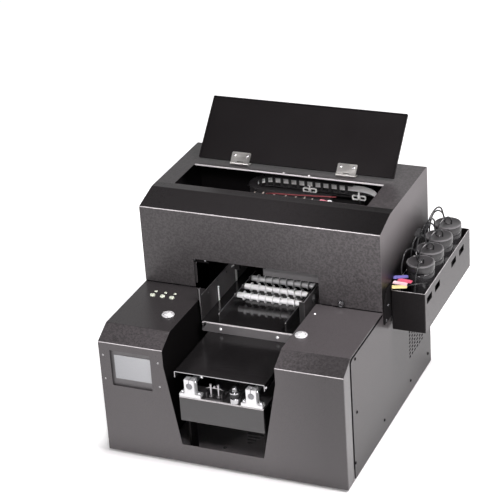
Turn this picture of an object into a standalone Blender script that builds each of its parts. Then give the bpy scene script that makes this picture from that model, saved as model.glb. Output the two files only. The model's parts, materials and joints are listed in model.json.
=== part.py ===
"""Desktop flatbed UV printer with a rotary bottle fixture on its sliding table.

Metres, +Z up. The front of the printer faces -Y and the ink tank box is on the +X side.
Sizes below are in millimetres from the housing's front left corner at floor level; `spot`
turns them into scene metres with the origin at the middle of the printer's footprint.
"""
import math

import bmesh
import bpy
from mathutils import Matrix, Vector

NAME = "flatbed_uv_printer"
MM = 0.001
GAP = 0.3                    # clearance between pieces that touch

# footprint origin
CENTRE_X = 274.5
CENTRE_Y = 269.15

# housing
WIDTH = 480.0
DEPTH = 490.0
FOOT = 5.0                   # height of the rubber feet
SHEET = 1.5                  # sheet metal thickness
BASE_TOP = FOOT + 252.0      # deck level
FACE_TOP = FOOT + 232.0      # top of the upright front face
BEVEL_Y = 39.0               # where the front bevel meets the deck
HOOD_Y = 212.0               # front of the hood
HOOD_TOP = FOOT + 426.0
HOOD_FACE_TOP = FOOT + 410.0
HOOD_BEVEL_Y = 272.0

VENT_Y = 361.0               # first column and lowest row of the side vents
VENT_Z = FOOT + 79.2

# table channel
CHANNEL_L = 130.0
CHANNEL_R = 350.0

# table drive
ROD_X = (178.5, 300.5)
ROD_Z = FOOT + 165.0
ROD_R = 6.0
BAR_TOP = FOOT + 142.0
BELT_X = 264.5
BELT_Z = FOOT + 157.0
PULLEY_R = 8.0
PULLEY_Y = (12.0, 432.0)

# table and bottle fixture
COVER_TOP = FOOT + 194.0
TRAY_TOP = FOOT + 212.0
ROLLER_Z = FOOT + 227.0
ROLLER_Y = {"roller_front": 250.0, "roller_middle": 287.0, "roller_rear": 322.0}
RAIL_X = (172.0, 308.0)      # outer faces of the roller rails

# print carriage
CARRIAGE_X = (240.0, 352.0)
CARRIAGE_Y = (228.0, 316.0)
CARRIAGE_Z = (FOOT + 288.0, FOOT + 360.0)

# lid
LID_AXIS_Y = 404.0
LID_AXIS_Z = HOOD_TOP + 3.5
LID_LENGTH = 135.0
LID_X = (40.0, 442.0)
LID_OPEN = 134.7             # degrees from shut to the open stop
HINGE_X = (127.0, 346.0)

# ink
TANK_X = (484.0, 549.0)
TANK_Y = (252.0, 538.3)
TANK_Z = (FOOT + 199.0, FOOT + 280.0)
BOTTLE_X = 517.0
BOTTLE_Y = (327.0, 384.0, 441.0, 498.0)
BOTTLE_R = 26.0
BOTTLE_TOP = FOOT + 309.0

BUTTONS = {"left": (100.6, 95.8), "right": (366.6, 92.4)}
KEY_X = {"key_left": 38.0, "key_middle": 58.5, "key_right": 78.0}
KEY_Y = 160.5
LAMP_Y = 176.0

parts = None
tools = None


# ---------------------------------------------------------------- basic helpers

def spot(x, y, z):
    """Printer millimetres to scene metres."""
    return Vector(((x - CENTRE_X) * MM, (y - CENTRE_Y) * MM, z * MM))


def new_object(name, mesh, helper=False):
    obj = bpy.data.objects.new(name, mesh)
    (tools if helper else parts).objects.link(obj)
    if helper:
        obj.hide_render = True
        obj.display_type = 'WIRE'
    return obj


def from_bmesh(name, bm, helper=False):
    bmesh.ops.recalc_face_normals(bm, faces=bm.faces[:])
    mesh = bpy.data.meshes.new(name)
    bm.to_mesh(mesh)
    bm.free()
    return new_object(name, mesh, helper)


def box(name, xs, ys, zs, helper=False):
    """A block between two limits along each axis."""
    bm = bmesh.new()
    bmesh.ops.create_cube(bm, size=1.0)
    size = Vector((xs[1] - xs[0], ys[1] - ys[0], zs[1] - zs[0])) * MM
    middle = spot(sum(xs) / 2, sum(ys) / 2, sum(zs) / 2)
    bmesh.ops.scale(bm, vec=size, verts=bm.verts[:])
    bmesh.ops.translate(bm, vec=middle, verts=bm.verts[:])
    return from_bmesh(name, bm, helper)


def prism(name, outline, axis, lo, hi, helper=False):
    """A flat outline pushed along X, Y or Z. Outline points are the other two axes in order."""
    bm = bmesh.new()
    corners = []
    for a, b in outline:
        place = {'X': (lo, a, b), 'Y': (a, lo, b), 'Z': (a, b, lo)}[axis]
        corners.append(bm.verts.new(spot(*place)))
    face = bm.faces.new(corners)
    pushed = bmesh.ops.extrude_face_region(bm, geom=[face])
    moved = [g for g in pushed['geom'] if isinstance(g, bmesh.types.BMVert)]
    step = {'X': Vector((1, 0, 0)), 'Y': Vector((0, 1, 0)), 'Z': Vector((0, 0, 1))}[axis]
    bmesh.ops.translate(bm, vec=step * (hi - lo) * MM, verts=moved)
    return from_bmesh(name, bm, helper)


def turn_to(axis):
    """Rotation that lays the local Z axis along X, Y or Z."""
    return {'Z': Matrix.Identity(3),
            'X': Matrix.Rotation(math.pi / 2, 3, 'Y'),
            'Y': Matrix.Rotation(-math.pi / 2, 3, 'X')}[axis]


def rod(name, axis, centre, radius, lo, hi, steps=24, helper=False):
    """A cylinder along an axis from lo to hi; centre gives the other two coordinates."""
    bm = bmesh.new()
    bmesh.ops.create_cone(bm, cap_ends=True, segments=steps, radius1=radius * MM,
                          radius2=radius * MM, depth=(hi - lo) * MM)
    bmesh.ops.rotate(bm, cent=(0, 0, 0), matrix=turn_to(axis), verts=bm.verts[:])
    mid = (lo + hi) / 2
    place = {'X': (mid, *centre), 'Y': (centre[0], mid, centre[1]), 'Z': (*centre, mid)}[axis]
    bmesh.ops.translate(bm, vec=spot(*place), verts=bm.verts[:])
    return from_bmesh(name, bm, helper)


def lathe(name, axis, centre, outline, steps=24, helper=False):
    """A closed outline of (radius, distance along axis) spun about the axis."""
    bm = bmesh.new()
    ring = [bm.verts.new((r * MM, 0, h * MM)) for r, h in outline]
    edges = [bm.edges.new((ring[i - 1], ring[i])) for i in range(len(ring))]
    bmesh.ops.spin(bm, geom=ring + edges, cent=(0, 0, 0), axis=(0, 0, 1),
                   angle=2 * math.pi, steps=steps, use_merge=True)
    bmesh.ops.remove_doubles(bm, verts=bm.verts[:], dist=1e-6)
    loose = [e for e in bm.edges if not e.link_faces]
    bmesh.ops.delete(bm, geom=loose, context='EDGES')
    bmesh.ops.rotate(bm, cent=(0, 0, 0), matrix=turn_to(axis), verts=bm.verts[:])
    place = {'X': (0, *centre), 'Y': (centre[0], 0, centre[1]), 'Z': (*centre, 0)}[axis]
    start = spot(*place)
    bmesh.ops.translate(bm, vec=start, verts=bm.verts[:])
    return from_bmesh(name, bm, helper)


def boolean(obj, other, operation):
    mod = obj.modifiers.new(operation.lower(), 'BOOLEAN')
    mod.operation = operation
    mod.solver = 'EXACT'
    mod.object = other
    return obj


def cut(obj, *others):
    for other in others:
        boolean(obj, other, 'DIFFERENCE')
    return obj


def join(obj, *others):
    for other in others:
        boolean(obj, other, 'UNION')
    return obj


def pivot(obj, x, y, z):
    """Move the object's origin without moving its shape."""
    place = spot(x, y, z)
    obj.data.transform(Matrix.Translation(-place))
    obj.location = place
    return obj


def paint(obj, colour, metallic=0.0, rough=0.5, alpha=1.0):
    mat = bpy.data.materials.new(obj.name)
    mat.use_nodes = True
    shader = next(n for n in mat.node_tree.nodes if n.type == 'BSDF_PRINCIPLED')
    shader.inputs['Base Color'].default_value = (*colour, 1.0)
    shader.inputs['Metallic'].default_value = metallic
    shader.inputs['Roughness'].default_value = rough
    shader.inputs['Alpha'].default_value = alpha
    obj.data.materials.clear()
    obj.data.materials.append(mat)
    return obj


BLACK_COAT = ((0.075, 0.07, 0.072), 0.0, 0.5)
DARK_COAT = ((0.03, 0.03, 0.032), 0.0, 0.3)
GREY_STEEL = ((0.16, 0.16, 0.17), 0.6, 0.4)
CHROME = ((0.8, 0.8, 0.82), 1.0, 0.12)
ALUMINIUM = ((0.75, 0.76, 0.78), 0.8, 0.35)


# ---------------------------------------------------------------- chassis and housing

def make_pan():
    pan = box("chassis_pan", (2, WIDTH - 2), (3, DEPTH - 2), (FOOT, FOOT + SHEET))
    back = box("pan_back", (2, WIDTH - 2), (DEPTH - 2 - SHEET, DEPTH - 2),
               (FOOT, BASE_TOP - 2), True)
    join(pan, back)
    for side, xs in (("left", (2, 3.5)), ("right", (WIDTH - 3.5, WIDTH - 2))):
        join(pan, box("pan_lip_" + side, xs, (3, DEPTH - 2), (FOOT, FOOT + 20), True))
    cut(pan, box("inlet_window", (381, 429), (DEPTH - 6, DEPTH + 2), (FOOT + 36, FOOT + 68), True))
    paint(pan, *GREY_STEEL)


def make_feet():
    places = {"front_left": (40, 40), "front_right": (440, 40),
              "rear_left": (40, 450), "rear_right": (440, 450)}
    outline = [(0, 0), (9.5, 0), (11.5, FOOT - GAP), (0, FOOT - GAP)]
    for name, place in places.items():
        foot = lathe("foot_" + name, 'Z', place, outline, 12)
        paint(foot, (0.02, 0.02, 0.02), 0.0, 0.9)


def bent_sheet(path, t):
    """Closed outline of a sheet of thickness t that follows a path of bends."""
    def shifted(i):
        ends = []
        for a, b in ((i - 1, i), (i, i + 1)):
            if a < 0 or b >= len(path):
                continue
            dy, dz = path[b][0] - path[a][0], path[b][1] - path[a][1]
            run = math.hypot(dy, dz)
            ends.append((dz / run, -dy / run))
        if len(ends) == 1:
            (ny, nz), scale = ends[0], 1.0
        else:
            ny, nz = ends[0][0] + ends[1][0], ends[0][1] + ends[1][1]
            scale = 2.0 / (ny * ny + nz * nz)
        return (path[i][0] + ny * t * scale, path[i][1] + nz * t * scale)
    return list(path) + [shifted(i) for i in range(len(path) - 1, -1, -1)]


def make_front_cover():
    """Front face, bevel and both decks in one folded sheet, with the table channel's walls."""
    path = [(0, FOOT), (0, FACE_TOP), (BEVEL_Y, BASE_TOP), (HOOD_Y - GAP, BASE_TOP)]
    cover = prism("front_cover", bent_sheet(path, SHEET), 'X', 0, WIDTH)
    flank = [(0, FOOT), (0, FACE_TOP), (34.5, FACE_TOP + 34.5 * 20 / BEVEL_Y), (34.5, FOOT)]
    for side, xs in (("left", (0, SHEET)), ("right", (WIDTH - SHEET, WIDTH))):
        join(cover, prism("cover_flank_" + side, flank, 'X', *xs, True))
    for side, xs in (("left", (CHANNEL_L - SHEET, CHANNEL_L)),
                     ("right", (CHANNEL_R, CHANNEL_R + SHEET))):
        wall = [(0.8, FOOT + 40), (0.8, FACE_TOP - 0.8), (BEVEL_Y, BASE_TOP - 0.8),
                (HOOD_Y - GAP, BASE_TOP - 0.8), (HOOD_Y - GAP, FOOT + 40)]
        join(cover, prism("channel_wall_" + side, wall, 'X', *xs, True))
    mouth = [(155, FOOT + 38), (CHANNEL_L, FOOT + 199), (CHANNEL_L, BASE_TOP + 9),
             (CHANNEL_R, BASE_TOP + 9), (CHANNEL_R, FOOT + 199), (318.5, FOOT + 38)]
    cut(cover, prism("front_mouth", mouth, 'Y', -5, 20, True))
    cut(cover, box("deck_mouth", (CHANNEL_L, CHANNEL_R), (2, HOOD_Y + 5),
                   (FOOT + 210, BASE_TOP + 9), True))
    cut(cover, box("screen_window", (22.5, 104), (-5, 5), (FOOT + 143, FOOT + 217), True))
    for side, place in BUTTONS.items():
        cut(cover, rod("button_hole_" + side, 'Z', place, 9.4, BASE_TOP - 9, BASE_TOP + 9, 16, True))
    for name, x in KEY_X.items():
        cut(cover, rod(name + "_hole", 'Z', (x, KEY_Y), 5.4, BASE_TOP - 9, BASE_TOP + 9, 12, True))
        cut(cover, rod(name + "_lamp_hole", 'Z', (x, LAMP_Y), 3.4, BASE_TOP - 9, BASE_TOP + 9,
                       8, True))
    paint(cover, *BLACK_COAT)


def make_side_panels():
    for side, xs in (("left", (0, SHEET)), ("right", (WIDTH - SHEET, WIDTH))):
        top = BASE_TOP - SHEET - GAP
        outline = [(36, FOOT), (36, top - 4), (44, top), (DEPTH, top), (DEPTH, FOOT)]
        panel = prism("side_panel_" + side, outline, 'X', *xs)
        if side == "right":
            for row in range(8):
                for col in range(6):
                    y, z = VENT_Y + col * 15, VENT_Z + row * 7.4
                    cut(panel, box("vent_%d_%d" % (row, col), (xs[0] - 2, xs[1] + 2),
                                   (y - 5, y + 5), (z - 1.6, z + 1.6), True))
        paint(panel, *BLACK_COAT)


def make_hood():
    """Raised rear housing with a front gate for the table and a service hatch on top."""
    low = BASE_TOP + GAP
    outside = [(HOOD_Y, low), (HOOD_Y, HOOD_FACE_TOP), (HOOD_BEVEL_Y, HOOD_TOP),
               (DEPTH, HOOD_TOP), (DEPTH, low)]
    t = SHEET
    inside = [(HOOD_Y + t, low - 5), (HOOD_Y + t, HOOD_FACE_TOP - 1.2),
              (HOOD_BEVEL_Y + 0.2, HOOD_TOP - t), (DEPTH - t, HOOD_TOP - t), (DEPTH - t, low - 5)]
    hood = prism("hood", outside, 'X', 0, WIDTH)
    cut(hood, prism("hood_hollow", inside, 'X', t, WIDTH - t, True))
    cut(hood, box("hood_gate", (105, 357), (HOOD_Y - 5, HOOD_Y + 5), (low - 5, FOOT + 313), True))
    cut(hood, box("hood_hatch", (38, 428), (293, 389), (HOOD_TOP - 5, HOOD_TOP + 5), True))
    cut(hood, box("tube_port", (WIDTH - 5, WIDTH + 5), (405, 439), (FOOT + 308, FOOT + 324), True))
    cut(hood, rod("lock_hole", 'Y', (400, FOOT + 261), 6.3, HOOD_Y - 5, HOOD_Y + 5, 16, True))
    paint(hood, *BLACK_COAT)


def make_screen():
    body = box("touch_screen", (20.5, 106.5), (4.5, 12), (FOOT + 141, FOOT + 219))
    join(body, box("screen_glass", (28.5, 103), (3.4, 4.8), (FOOT + 157, FOOT + 207), True))
    paint(body, (0.45, 0.45, 0.47), 0.0, 0.2)


# ---------------------------------------------------------------- table drive

def make_crossbars():
    y0, y1 = 0.6, 46.0
    bar = box("crossbar_front", (157, 323), (y0, y0 + 3), (FOOT + 91, BAR_TOP))
    join(bar, box("bar_shelf", (157, 323), (y0, y1), (BAR_TOP - 4, BAR_TOP), True))
    for side, xs in (("left", (162, 166)), ("right", (314, 318))):
        join(bar, box("bar_leg_" + side, xs, (y0 + 1, y1), (FOOT + SHEET + GAP, BAR_TOP - 2), True))
    paint(bar, *GREY_STEEL)
    rear = box("crossbar_rear", (157, 323), (412, 462), (BAR_TOP - 4, BAR_TOP))
    for side, xs in (("left", (162, 166)), ("right", (314, 318))):
        join(rear, box("rear_leg_" + side, xs, (412, 462), (FOOT + SHEET + GAP, BAR_TOP - 2), True))
    for side, x in zip(("left", "right"), ROD_X):
        join(rear, box("rear_block_" + side, (x - 12, x + 12), (450, 462), (BAR_TOP - 2, ROD_Z + 12),
                       True))
    cut(rear, rod("motor_boss_hole", 'Z', (BELT_X, PULLEY_Y[1]), 8.8, BAR_TOP - 9, BAR_TOP + 5, 16, True))
    for side, x in zip(("left", "right"), ROD_X):
        cut(rear, rod("rear_bore_" + side, 'Y', (x, ROD_Z), ROD_R + GAP, 440, 470, 16, True))
    paint(rear, *GREY_STEEL)


def make_supports():
    """Clamp blocks that hold the guide rods' front ends, 42 mm wide."""
    foot_z = BAR_TOP + GAP
    for side, x in zip(("left", "right"), ROD_X):
        outline = [(x - 21, foot_z), (x + 21, foot_z), (x + 21, foot_z + 6.5), (x + 10, foot_z + 8),
                   (x + 10, foot_z + 36), (x - 10, foot_z + 36), (x - 10, foot_z + 8),
                   (x - 21, foot_z + 6.5)]
        block = prism("shaft_support_" + side, outline, 'Y', 1, 15)
        cut(block, rod("support_bore_" + side, 'Y', (x, ROD_Z), ROD_R + GAP, -5, 20, 16, True))
        paint(block, (0.82, 0.82, 0.84), 0.5, 0.35)
        bar = rod("guide_rod_" + side, 'Y', (x, ROD_Z), ROD_R, 0.6, 461, 16)
        paint(bar, *CHROME)


def make_tensioner():
    base = box("belt_tensioner", (208, 242), (3, 40), (BAR_TOP + GAP, BAR_TOP + 6))
    for side, x in (("left", 217), ("right", 232)):
        join(base, rod("tension_bolt_" + side, 'Z', (x, 12), 2.4, BAR_TOP + 4, BAR_TOP + 27, 12, True))
        join(base, rod("tension_head_" + side, 'Z', (x, 12), 4.2, BAR_TOP + 26, BAR_TOP + 30, 6, True))
    paint(base, *CHROME)


def make_pulleys():
    low = BAR_TOP + GAP
    outline = [(0, low), (11, low), (11, BELT_Z - 4.5), (PULLEY_R, BELT_Z - 4),
               (PULLEY_R, BELT_Z + 4), (11, BELT_Z + 4.5), (11, BELT_Z + 8), (5, BELT_Z + 8),
               (5, BELT_Z + 16), (0, BELT_Z + 16)]
    idler = lathe("table_idler", 'Z', (BELT_X, PULLEY_Y[0]), outline, 16)
    pivot(idler, BELT_X, PULLEY_Y[0], BELT_Z)
    paint(idler, *ALUMINIUM)
    outline = [(0, BAR_TOP - 8), (3.5, BAR_TOP - 8), (3.5, BAR_TOP + 1), (10, BAR_TOP + 1),
               (10, BELT_Z - 4.5), (PULLEY_R, BELT_Z - 4), (PULLEY_R, BELT_Z + 4),
               (10, BELT_Z + 4.5), (10, BELT_Z + 6), (0, BELT_Z + 6)]
    pulley = lathe("table_pulley", 'Z', (BELT_X, PULLEY_Y[1]), outline, 16)
    pivot(pulley, BELT_X, PULLEY_Y[1], BELT_Z)
    paint(pulley, *ALUMINIUM)


def belt_outline(radius):
    points = []
    for y, start in ((PULLEY_Y[1], 0.0), (PULLEY_Y[0], math.pi)):
        for step in range(9):
            a = start + math.pi * step / 8
            points.append((BELT_X + radius * math.cos(a), y + radius * math.sin(a)))
    return points


def make_belt():
    belt = prism("table_belt", belt_outline(PULLEY_R + 1.6), 'Z', BELT_Z - 3, BELT_Z + 3)
    cut(belt, prism("belt_inside", belt_outline(PULLEY_R + 0.4), 'Z', BELT_Z - 9, BELT_Z + 9, True))
    paint(belt, (0.02, 0.02, 0.02), 0.0, 0.8)


def make_table_motor():
    x, y = BELT_X, PULLEY_Y[1]
    motor = box("table_motor", (x - 21, x + 21), (y - 20, y + 22), (BAR_TOP - 48, BAR_TOP - 8.3))
    join(motor, rod("motor_boss", 'Z', (x, y), 8, BAR_TOP - 10, BAR_TOP - 2, 16, True))
    cut(motor, rod("motor_bore", 'Z', (x, y), 4, BAR_TOP - 9, BAR_TOP + 4, 10, True))
    paint(motor, (0.03, 0.03, 0.035), 0.3, 0.4)


# ---------------------------------------------------------------- table and fixture

def make_table():
    plate = box("table_plate", (158, 322), (10, 392), (COVER_TOP - 5.8, COVER_TOP - 1.8))
    paint(plate, *ALUMINIUM)
    cover = box("table_cover", (151, 329), (0, 396), (COVER_TOP - SHEET, COVER_TOP))
    for side, xs in (("left", (151, 152.5)), ("right", (327.5, 329))):
        join(cover, box("cover_side_" + side, xs, (0, 396), (COVER_TOP - 13, COVER_TOP - 0.5), True))
    paint(cover, *DARK_COAT)
    low = COVER_TOP - 5.8 - GAP
    bridge = box("bearing_bridge", (160, 319), (140, 250), (low - 4, low))
    for side, x in zip(("left", "right"), ROD_X):
        join(bridge, box("bearing_block_" + side, (x - 13, x + 13), (145, 245), (ROD_Z - 13, low - 2),
                         True))
        cut(bridge, rod("bearing_bore_" + side, 'Y', (x, ROD_Z), ROD_R + GAP, 130, 260, 16, True))
    join(bridge, box("belt_clamp", (BELT_X - 16, BELT_X - 10.2), (180, 210), (BELT_Z - 4, low - 2), True))
    paint(bridge, *ALUMINIUM)


def make_fixture_tray():
    tray = box("fixture_tray", (136.3, 343.7), (158.3, 395), (TRAY_TOP - 3, TRAY_TOP))
    for side, xs in (("left", (156, 159)), ("right", (321, 324))):
        join(tray, box("tray_skirt_" + side, xs, (158.3, 395), (COVER_TOP + GAP, TRAY_TOP - 2), True))
    for side, x0 in (("left", RAIL_X[0]), ("right", RAIL_X[1] - 2)):
        join(tray, box("roller_rail_" + side, (x0, x0 + 2), (162, 346), (TRAY_TOP - 1, FOOT + 232), True))
    for name, y in ROLLER_Y.items():
        cut(tray, rod(name + "_bore", 'X', (y, ROLLER_Z), 3.1, 160, 320, 12, True))
    paint(tray, *DARK_COAT)
    bar = box("fixture_front_bar", (147, 333), (154, 156), (COVER_TOP + GAP, TRAY_TOP + 1))
    join(bar, box("front_bar_lip", (147, 333), (154, 158), (TRAY_TOP - 0.5, TRAY_TOP + 1), True))
    paint(bar, *GREY_STEEL)


def make_fixture_walls():
    """Tall side walls beside the rollers; the left one has two adjusting slots."""
    top = FOOT + 261
    wall = box("fixture_wall_left", (134, 136), (165, 395), (FOOT + 198, top))
    join(wall, box("left_front_tab", (130.6, 136), (163.5, 165.5), (BASE_TOP + 1.5, FOOT + 277), True))
    join(wall, box("left_tab_root", (134, 136), (163.5, 170), (FOOT + 240, FOOT + 277), True))
    for name, y in (("front", 246), ("rear", 330)):
        cut(wall, box("slot_" + name, (130, 140), (y - 2.5, y + 2.5), (FOOT + 207, FOOT + 243), True))
    paint(wall, *DARK_COAT)
    top = FOOT + 279
    wall = box("fixture_wall_right", (344, 346), (165, 395), (FOOT + 198, top))
    join(wall, box("right_front_tab", (336, 346), (163.5, 165.5), (TRAY_TOP + GAP, top), True))
    for name, y in ROLLER_Y.items():
        join(wall, rod("wall_hub_" + name, 'X', (y - 40, FOOT + 264), 8, 345, 349.4, 12, True))
    paint(wall, *DARK_COAT)


def make_rollers():
    """Shafts with eight grip discs each, turning in the two rails."""
    left, right = RAIL_X[0] + 2 + GAP, RAIL_X[1] - 2 - GAP
    for name, y in ROLLER_Y.items():
        outline = [(0, RAIL_X[0] - 4), (2.7, RAIL_X[0] - 4), (2.7, left), (5, left)]
        pitch = (right - left - 12) / 8
        for k in range(8):
            x = left + 6 + pitch * (k + 0.5)
            outline += [(5, x - 2), (9, x - 1.6), (9, x + 1.6), (5, x + 2)]
        outline += [(5, right), (2.7, right), (2.7, RAIL_X[1] + 4), (0, RAIL_X[1] + 4)]
        shifted = [(r, h - CENTRE_X) for r, h in outline]
        roller = lathe(name, 'X', (y, ROLLER_Z), shifted, 12)
        roller.data.transform(Matrix.Translation(Vector((CENTRE_X * MM, 0, 0))))
        pivot(roller, 240, y, ROLLER_Z)
        paint(roller, *CHROME)


# ---------------------------------------------------------------- print carriage

def make_gantry():
    """Cross rail on two posts, with the shelf behind it for the board and the cable chain."""
    gantry = box("carriage_rail", (20, 460), (320, 346), (FOOT + 300, FOOT + 330))
    for side, xs in (("left", (20, 26)), ("right", (454, 460))):
        join(gantry, box("gantry_post_" + side, xs, (320, 346), (FOOT + SHEET + GAP, FOOT + 302), True))
    join(gantry, box("gantry_shelf", (60, 440), (344, 485), (FOOT + 326, FOOT + 328), True))
    join(gantry, box("chain_riser", (120, 352), (483, 485), (FOOT + 326, FOOT + 363), True))
    join(gantry, box("chain_ledge", (120, 352), (450, 485), (FOOT + 361, FOOT + 363), True))
    paint(gantry, *GREY_STEEL)


def make_carriage():
    x0, x1 = CARRIAGE_X
    y0, y1 = CARRIAGE_Y
    z0, z1 = CARRIAGE_Z
    body = box("print_carriage", (x0, x1), (y0, y1), (z0, z1))
    cut(body, box("carriage_hollow", (x0 + 3, x1 - 3), (y0 + 3, y1 - 3), (z0 - 5, z1 - 34), True))
    join(body, box("carriage_slider", (x0 + 8, x1 - 8), (y1 - 1, 319.7), (FOOT + 302, FOOT + 328), True))
    join(body, box("chain_arm", (334, 350), (y1 - 6, 409), (z1 - 6, z1), True))
    paint(body, (0.3, 0.3, 0.31), 0.0, 0.4)
    head = box("print_head", (258, 300), (240, 296), (FOOT + 290, z1 - 34.3))
    join(head, box("nozzle_plate", (262, 296), (246, 290), (FOOT + 285, FOOT + 291), True))
    paint(head, (0.12, 0.12, 0.13), 0.4, 0.4)
    lamp = box("uv_lamp", (308, 342), (240, 296), (FOOT + 289, z1 - 34.3))
    cut(lamp, box("lamp_window", (312, 338), (246, 290), (FOOT + 285, FOOT + 292), True))
    paint(lamp, *ALUMINIUM)


def make_chain():
    """Flat loop of cable carrier, open towards the inside of the loop."""
    low, high = FOOT + 364, FOOT + 384
    run_y, bend_x, bend_y = 462.0, 175.0, 431.0
    profile = [(-7, low), (-7, low + 2), (5, low + 2), (5, high - 2), (-7, high - 2), (-7, high),
               (7, high), (7, low)]
    bm = bmesh.new()
    corners = [bm.verts.new(spot(340, run_y + a, b)) for a, b in profile]
    face = bm.faces.new(corners)

    def push(source, step):
        pushed = bmesh.ops.extrude_face_region(bm, geom=[source])
        moved = [g for g in pushed['geom'] if isinstance(g, bmesh.types.BMVert)]
        bmesh.ops.translate(bm, vec=step, verts=moved)
        return next(g for g in pushed['geom'] if isinstance(g, bmesh.types.BMFace))

    end = push(face, Vector(((bend_x - 340) * MM, 0, 0)))
    turn = math.pi / 10
    centre = spot(bend_x, bend_y, 0)
    for step in range(10):
        pushed = bmesh.ops.extrude_face_region(bm, geom=[end])
        moved = [g for g in pushed['geom'] if isinstance(g, bmesh.types.BMVert)]
        bmesh.ops.rotate(bm, cent=centre, matrix=Matrix.Rotation(turn, 3, 'Z'), verts=moved)
        end = next(g for g in pushed['geom'] if isinstance(g, bmesh.types.BMFace))
    push(end, Vector(((326 - bend_x) * MM, 0, 0)))
    inner = [f for f in bm.faces if len(f.edges) > 4 and all(len(e.link_faces) > 2 for e in f.edges)]
    bmesh.ops.delete(bm, geom=inner, context='FACES_ONLY')
    chain = from_bmesh("cable_chain", bm)
    paint(chain, (0.03, 0.03, 0.03), 0.0, 0.6)


def make_ribbon():
    """White ribbon lying in the rear run, then curving forward and down to the board."""
    path = [(182, 464), (342, 464), (358, 463), (372, 459), (384, 452), (392, 444), (396, 436)]
    outline = bent_sheet(path, 0.8)
    ribbon = prism("ribbon_cable", outline, 'Z', FOOT + 369, FOOT + 381.5)
    paint(ribbon, (0.85, 0.85, 0.84), 0.0, 0.6)


def make_board():
    z = FOOT + 345
    board = box("circuit_board", (262, 402), (418, 447), (z, z + 1.6))
    for k, (x, y) in enumerate(((268, 423), (396, 423), (268, 442), (396, 442))):
        join(board, rod("standoff_%d" % k, 'Z', (x, y), 2.5, FOOT + 328.3, z + 0.5, 8, True))
    for k, (x0, x1, y0, y1, h) in enumerate(((280, 300, 424, 440, 5), (312, 344, 422, 430, 9),
                                             (352, 372, 426, 442, 4), (378, 392, 430, 444, 10))):
        join(board, box("chip_%d" % k, (x0, x1), (y0, y1), (z + 1, z + 1.6 + h), True))
    paint(board, (0.02, 0.16, 0.08), 0.0, 0.45)


# ---------------------------------------------------------------- ink supply

def make_tank_box():
    x0, x1 = TANK_X
    y0, y1 = TANK_Y
    z0, z1 = TANK_Z
    tank = box("tank_box", (x0, x1), (y0, y1), (z0, z1))
    cut(tank, box("tank_hollow", (x0 + SHEET, x1 - SHEET), (y0 + SHEET, y1 - SHEET), (z0 + SHEET, z1 + 9),
                  True))
    for k, y in enumerate((278, 327, 430, 481)):
        cut(tank, box("tank_window_%d" % k, (x1 - 5, x1 + 5), (y - 15, y + 15), (FOOT + 254, FOOT + 267),
                      True))
    join(tank, box("mount_pad", (WIDTH + GAP, x0 + 1), (256, 470), (FOOT + 225, FOOT + 248), True))
    ear = [(216, FOOT + 225), (258, FOOT + 225), (258, FOOT + 266), (232, FOOT + 266), (216, FOOT + 240)]
    join(tank, prism("mount_ear", ear, 'X', WIDTH + GAP, WIDTH + 2.3, True))
    paint(tank, *BLACK_COAT)


def make_bottles():
    low = TANK_Z[0] + SHEET + GAP
    r = BOTTLE_R
    outline = [(0, low), (r - 2, low), (r, low + 2), (r, BOTTLE_TOP - 22), (r - 1.5, BOTTLE_TOP - 19),
               (r - 1.5, BOTTLE_TOP - 16), (r + 0.5, BOTTLE_TOP - 15), (r + 0.5, BOTTLE_TOP - 3),
               (r - 2, BOTTLE_TOP), (0, BOTTLE_TOP)]
    for k, y in enumerate(BOTTLE_Y, 1):
        bottle = lathe("ink_bottle_%d" % k, 'Z', (BOTTLE_X, y), outline, 16)
        paint(bottle, (0.05, 0.05, 0.055), 0.0, 0.25)


def tube(name, points, radius):
    """Round tube through a list of points, as a closed mesh."""
    curve = bpy.data.curves.new(name, 'CURVE')
    curve.dimensions = '3D'
    curve.bevel_depth = radius * MM
    curve.bevel_resolution = 1
    curve.use_fill_caps = True
    curve.resolution_u = 3
    spline = curve.splines.new('BEZIER')
    spline.bezier_points.add(len(points) - 1)
    for knot, place in zip(spline.bezier_points, points):
        knot.co = spot(*place)
        knot.handle_left_type = 'AUTO'
        knot.handle_right_type = 'AUTO'
    holder = bpy.data.objects.new(name, curve)
    tools.objects.link(holder)
    bpy.context.view_layer.update()
    graph = bpy.context.evaluated_depsgraph_get()
    mesh = bpy.data.meshes.new_from_object(holder.evaluated_get(graph))
    mesh.name = name
    bpy.data.objects.remove(holder)
    bm = bmesh.new()
    bm.from_mesh(mesh)
    bmesh.ops.remove_doubles(bm, verts=bm.verts[:], dist=1e-6)
    bmesh.ops.recalc_face_normals(bm, faces=bm.faces[:])
    bm.to_mesh(mesh)
    bm.free()
    return new_object(name, mesh, True)


def make_tubes():
    """Four ink tubes from the bottle caps through the hood's side port to the cable chain."""
    clip = box("ink_tubes", (470, 488), (407, 437), (FOOT + 310, FOOT + 322))
    for k, y in enumerate(BOTTLE_Y):
        port_y = 411.5 + 7 * k
        z = FOOT + 316
        rise = (26, 30, 34, 38)[k]
        end_y = 457 + 3.4 * k
        points = [(BOTTLE_X - 6, y, BOTTLE_TOP + GAP), (BOTTLE_X - 8, y, BOTTLE_TOP + 12),
                  (BOTTLE_X - 12, y + (port_y - y) * 0.25, BOTTLE_TOP + rise),
                  (BOTTLE_X - 20, y + (port_y - y) * 0.7, BOTTLE_TOP + rise - 8),
                  (494, port_y, z + 3), (479, port_y, z),
                  (464, port_y + 2, z + 4), (440, 425 + 5 * k, z + 28),
                  (405, end_y - 6, FOOT + 365), (375, end_y, FOOT + 366.5), (342, end_y, FOOT + 366.5)]
        join(clip, tube("tube_%d" % (k + 1), points, 1.6))
    paint(clip, (0.02, 0.02, 0.02), 0.0, 0.35)


# ---------------------------------------------------------------- lid and controls

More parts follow.
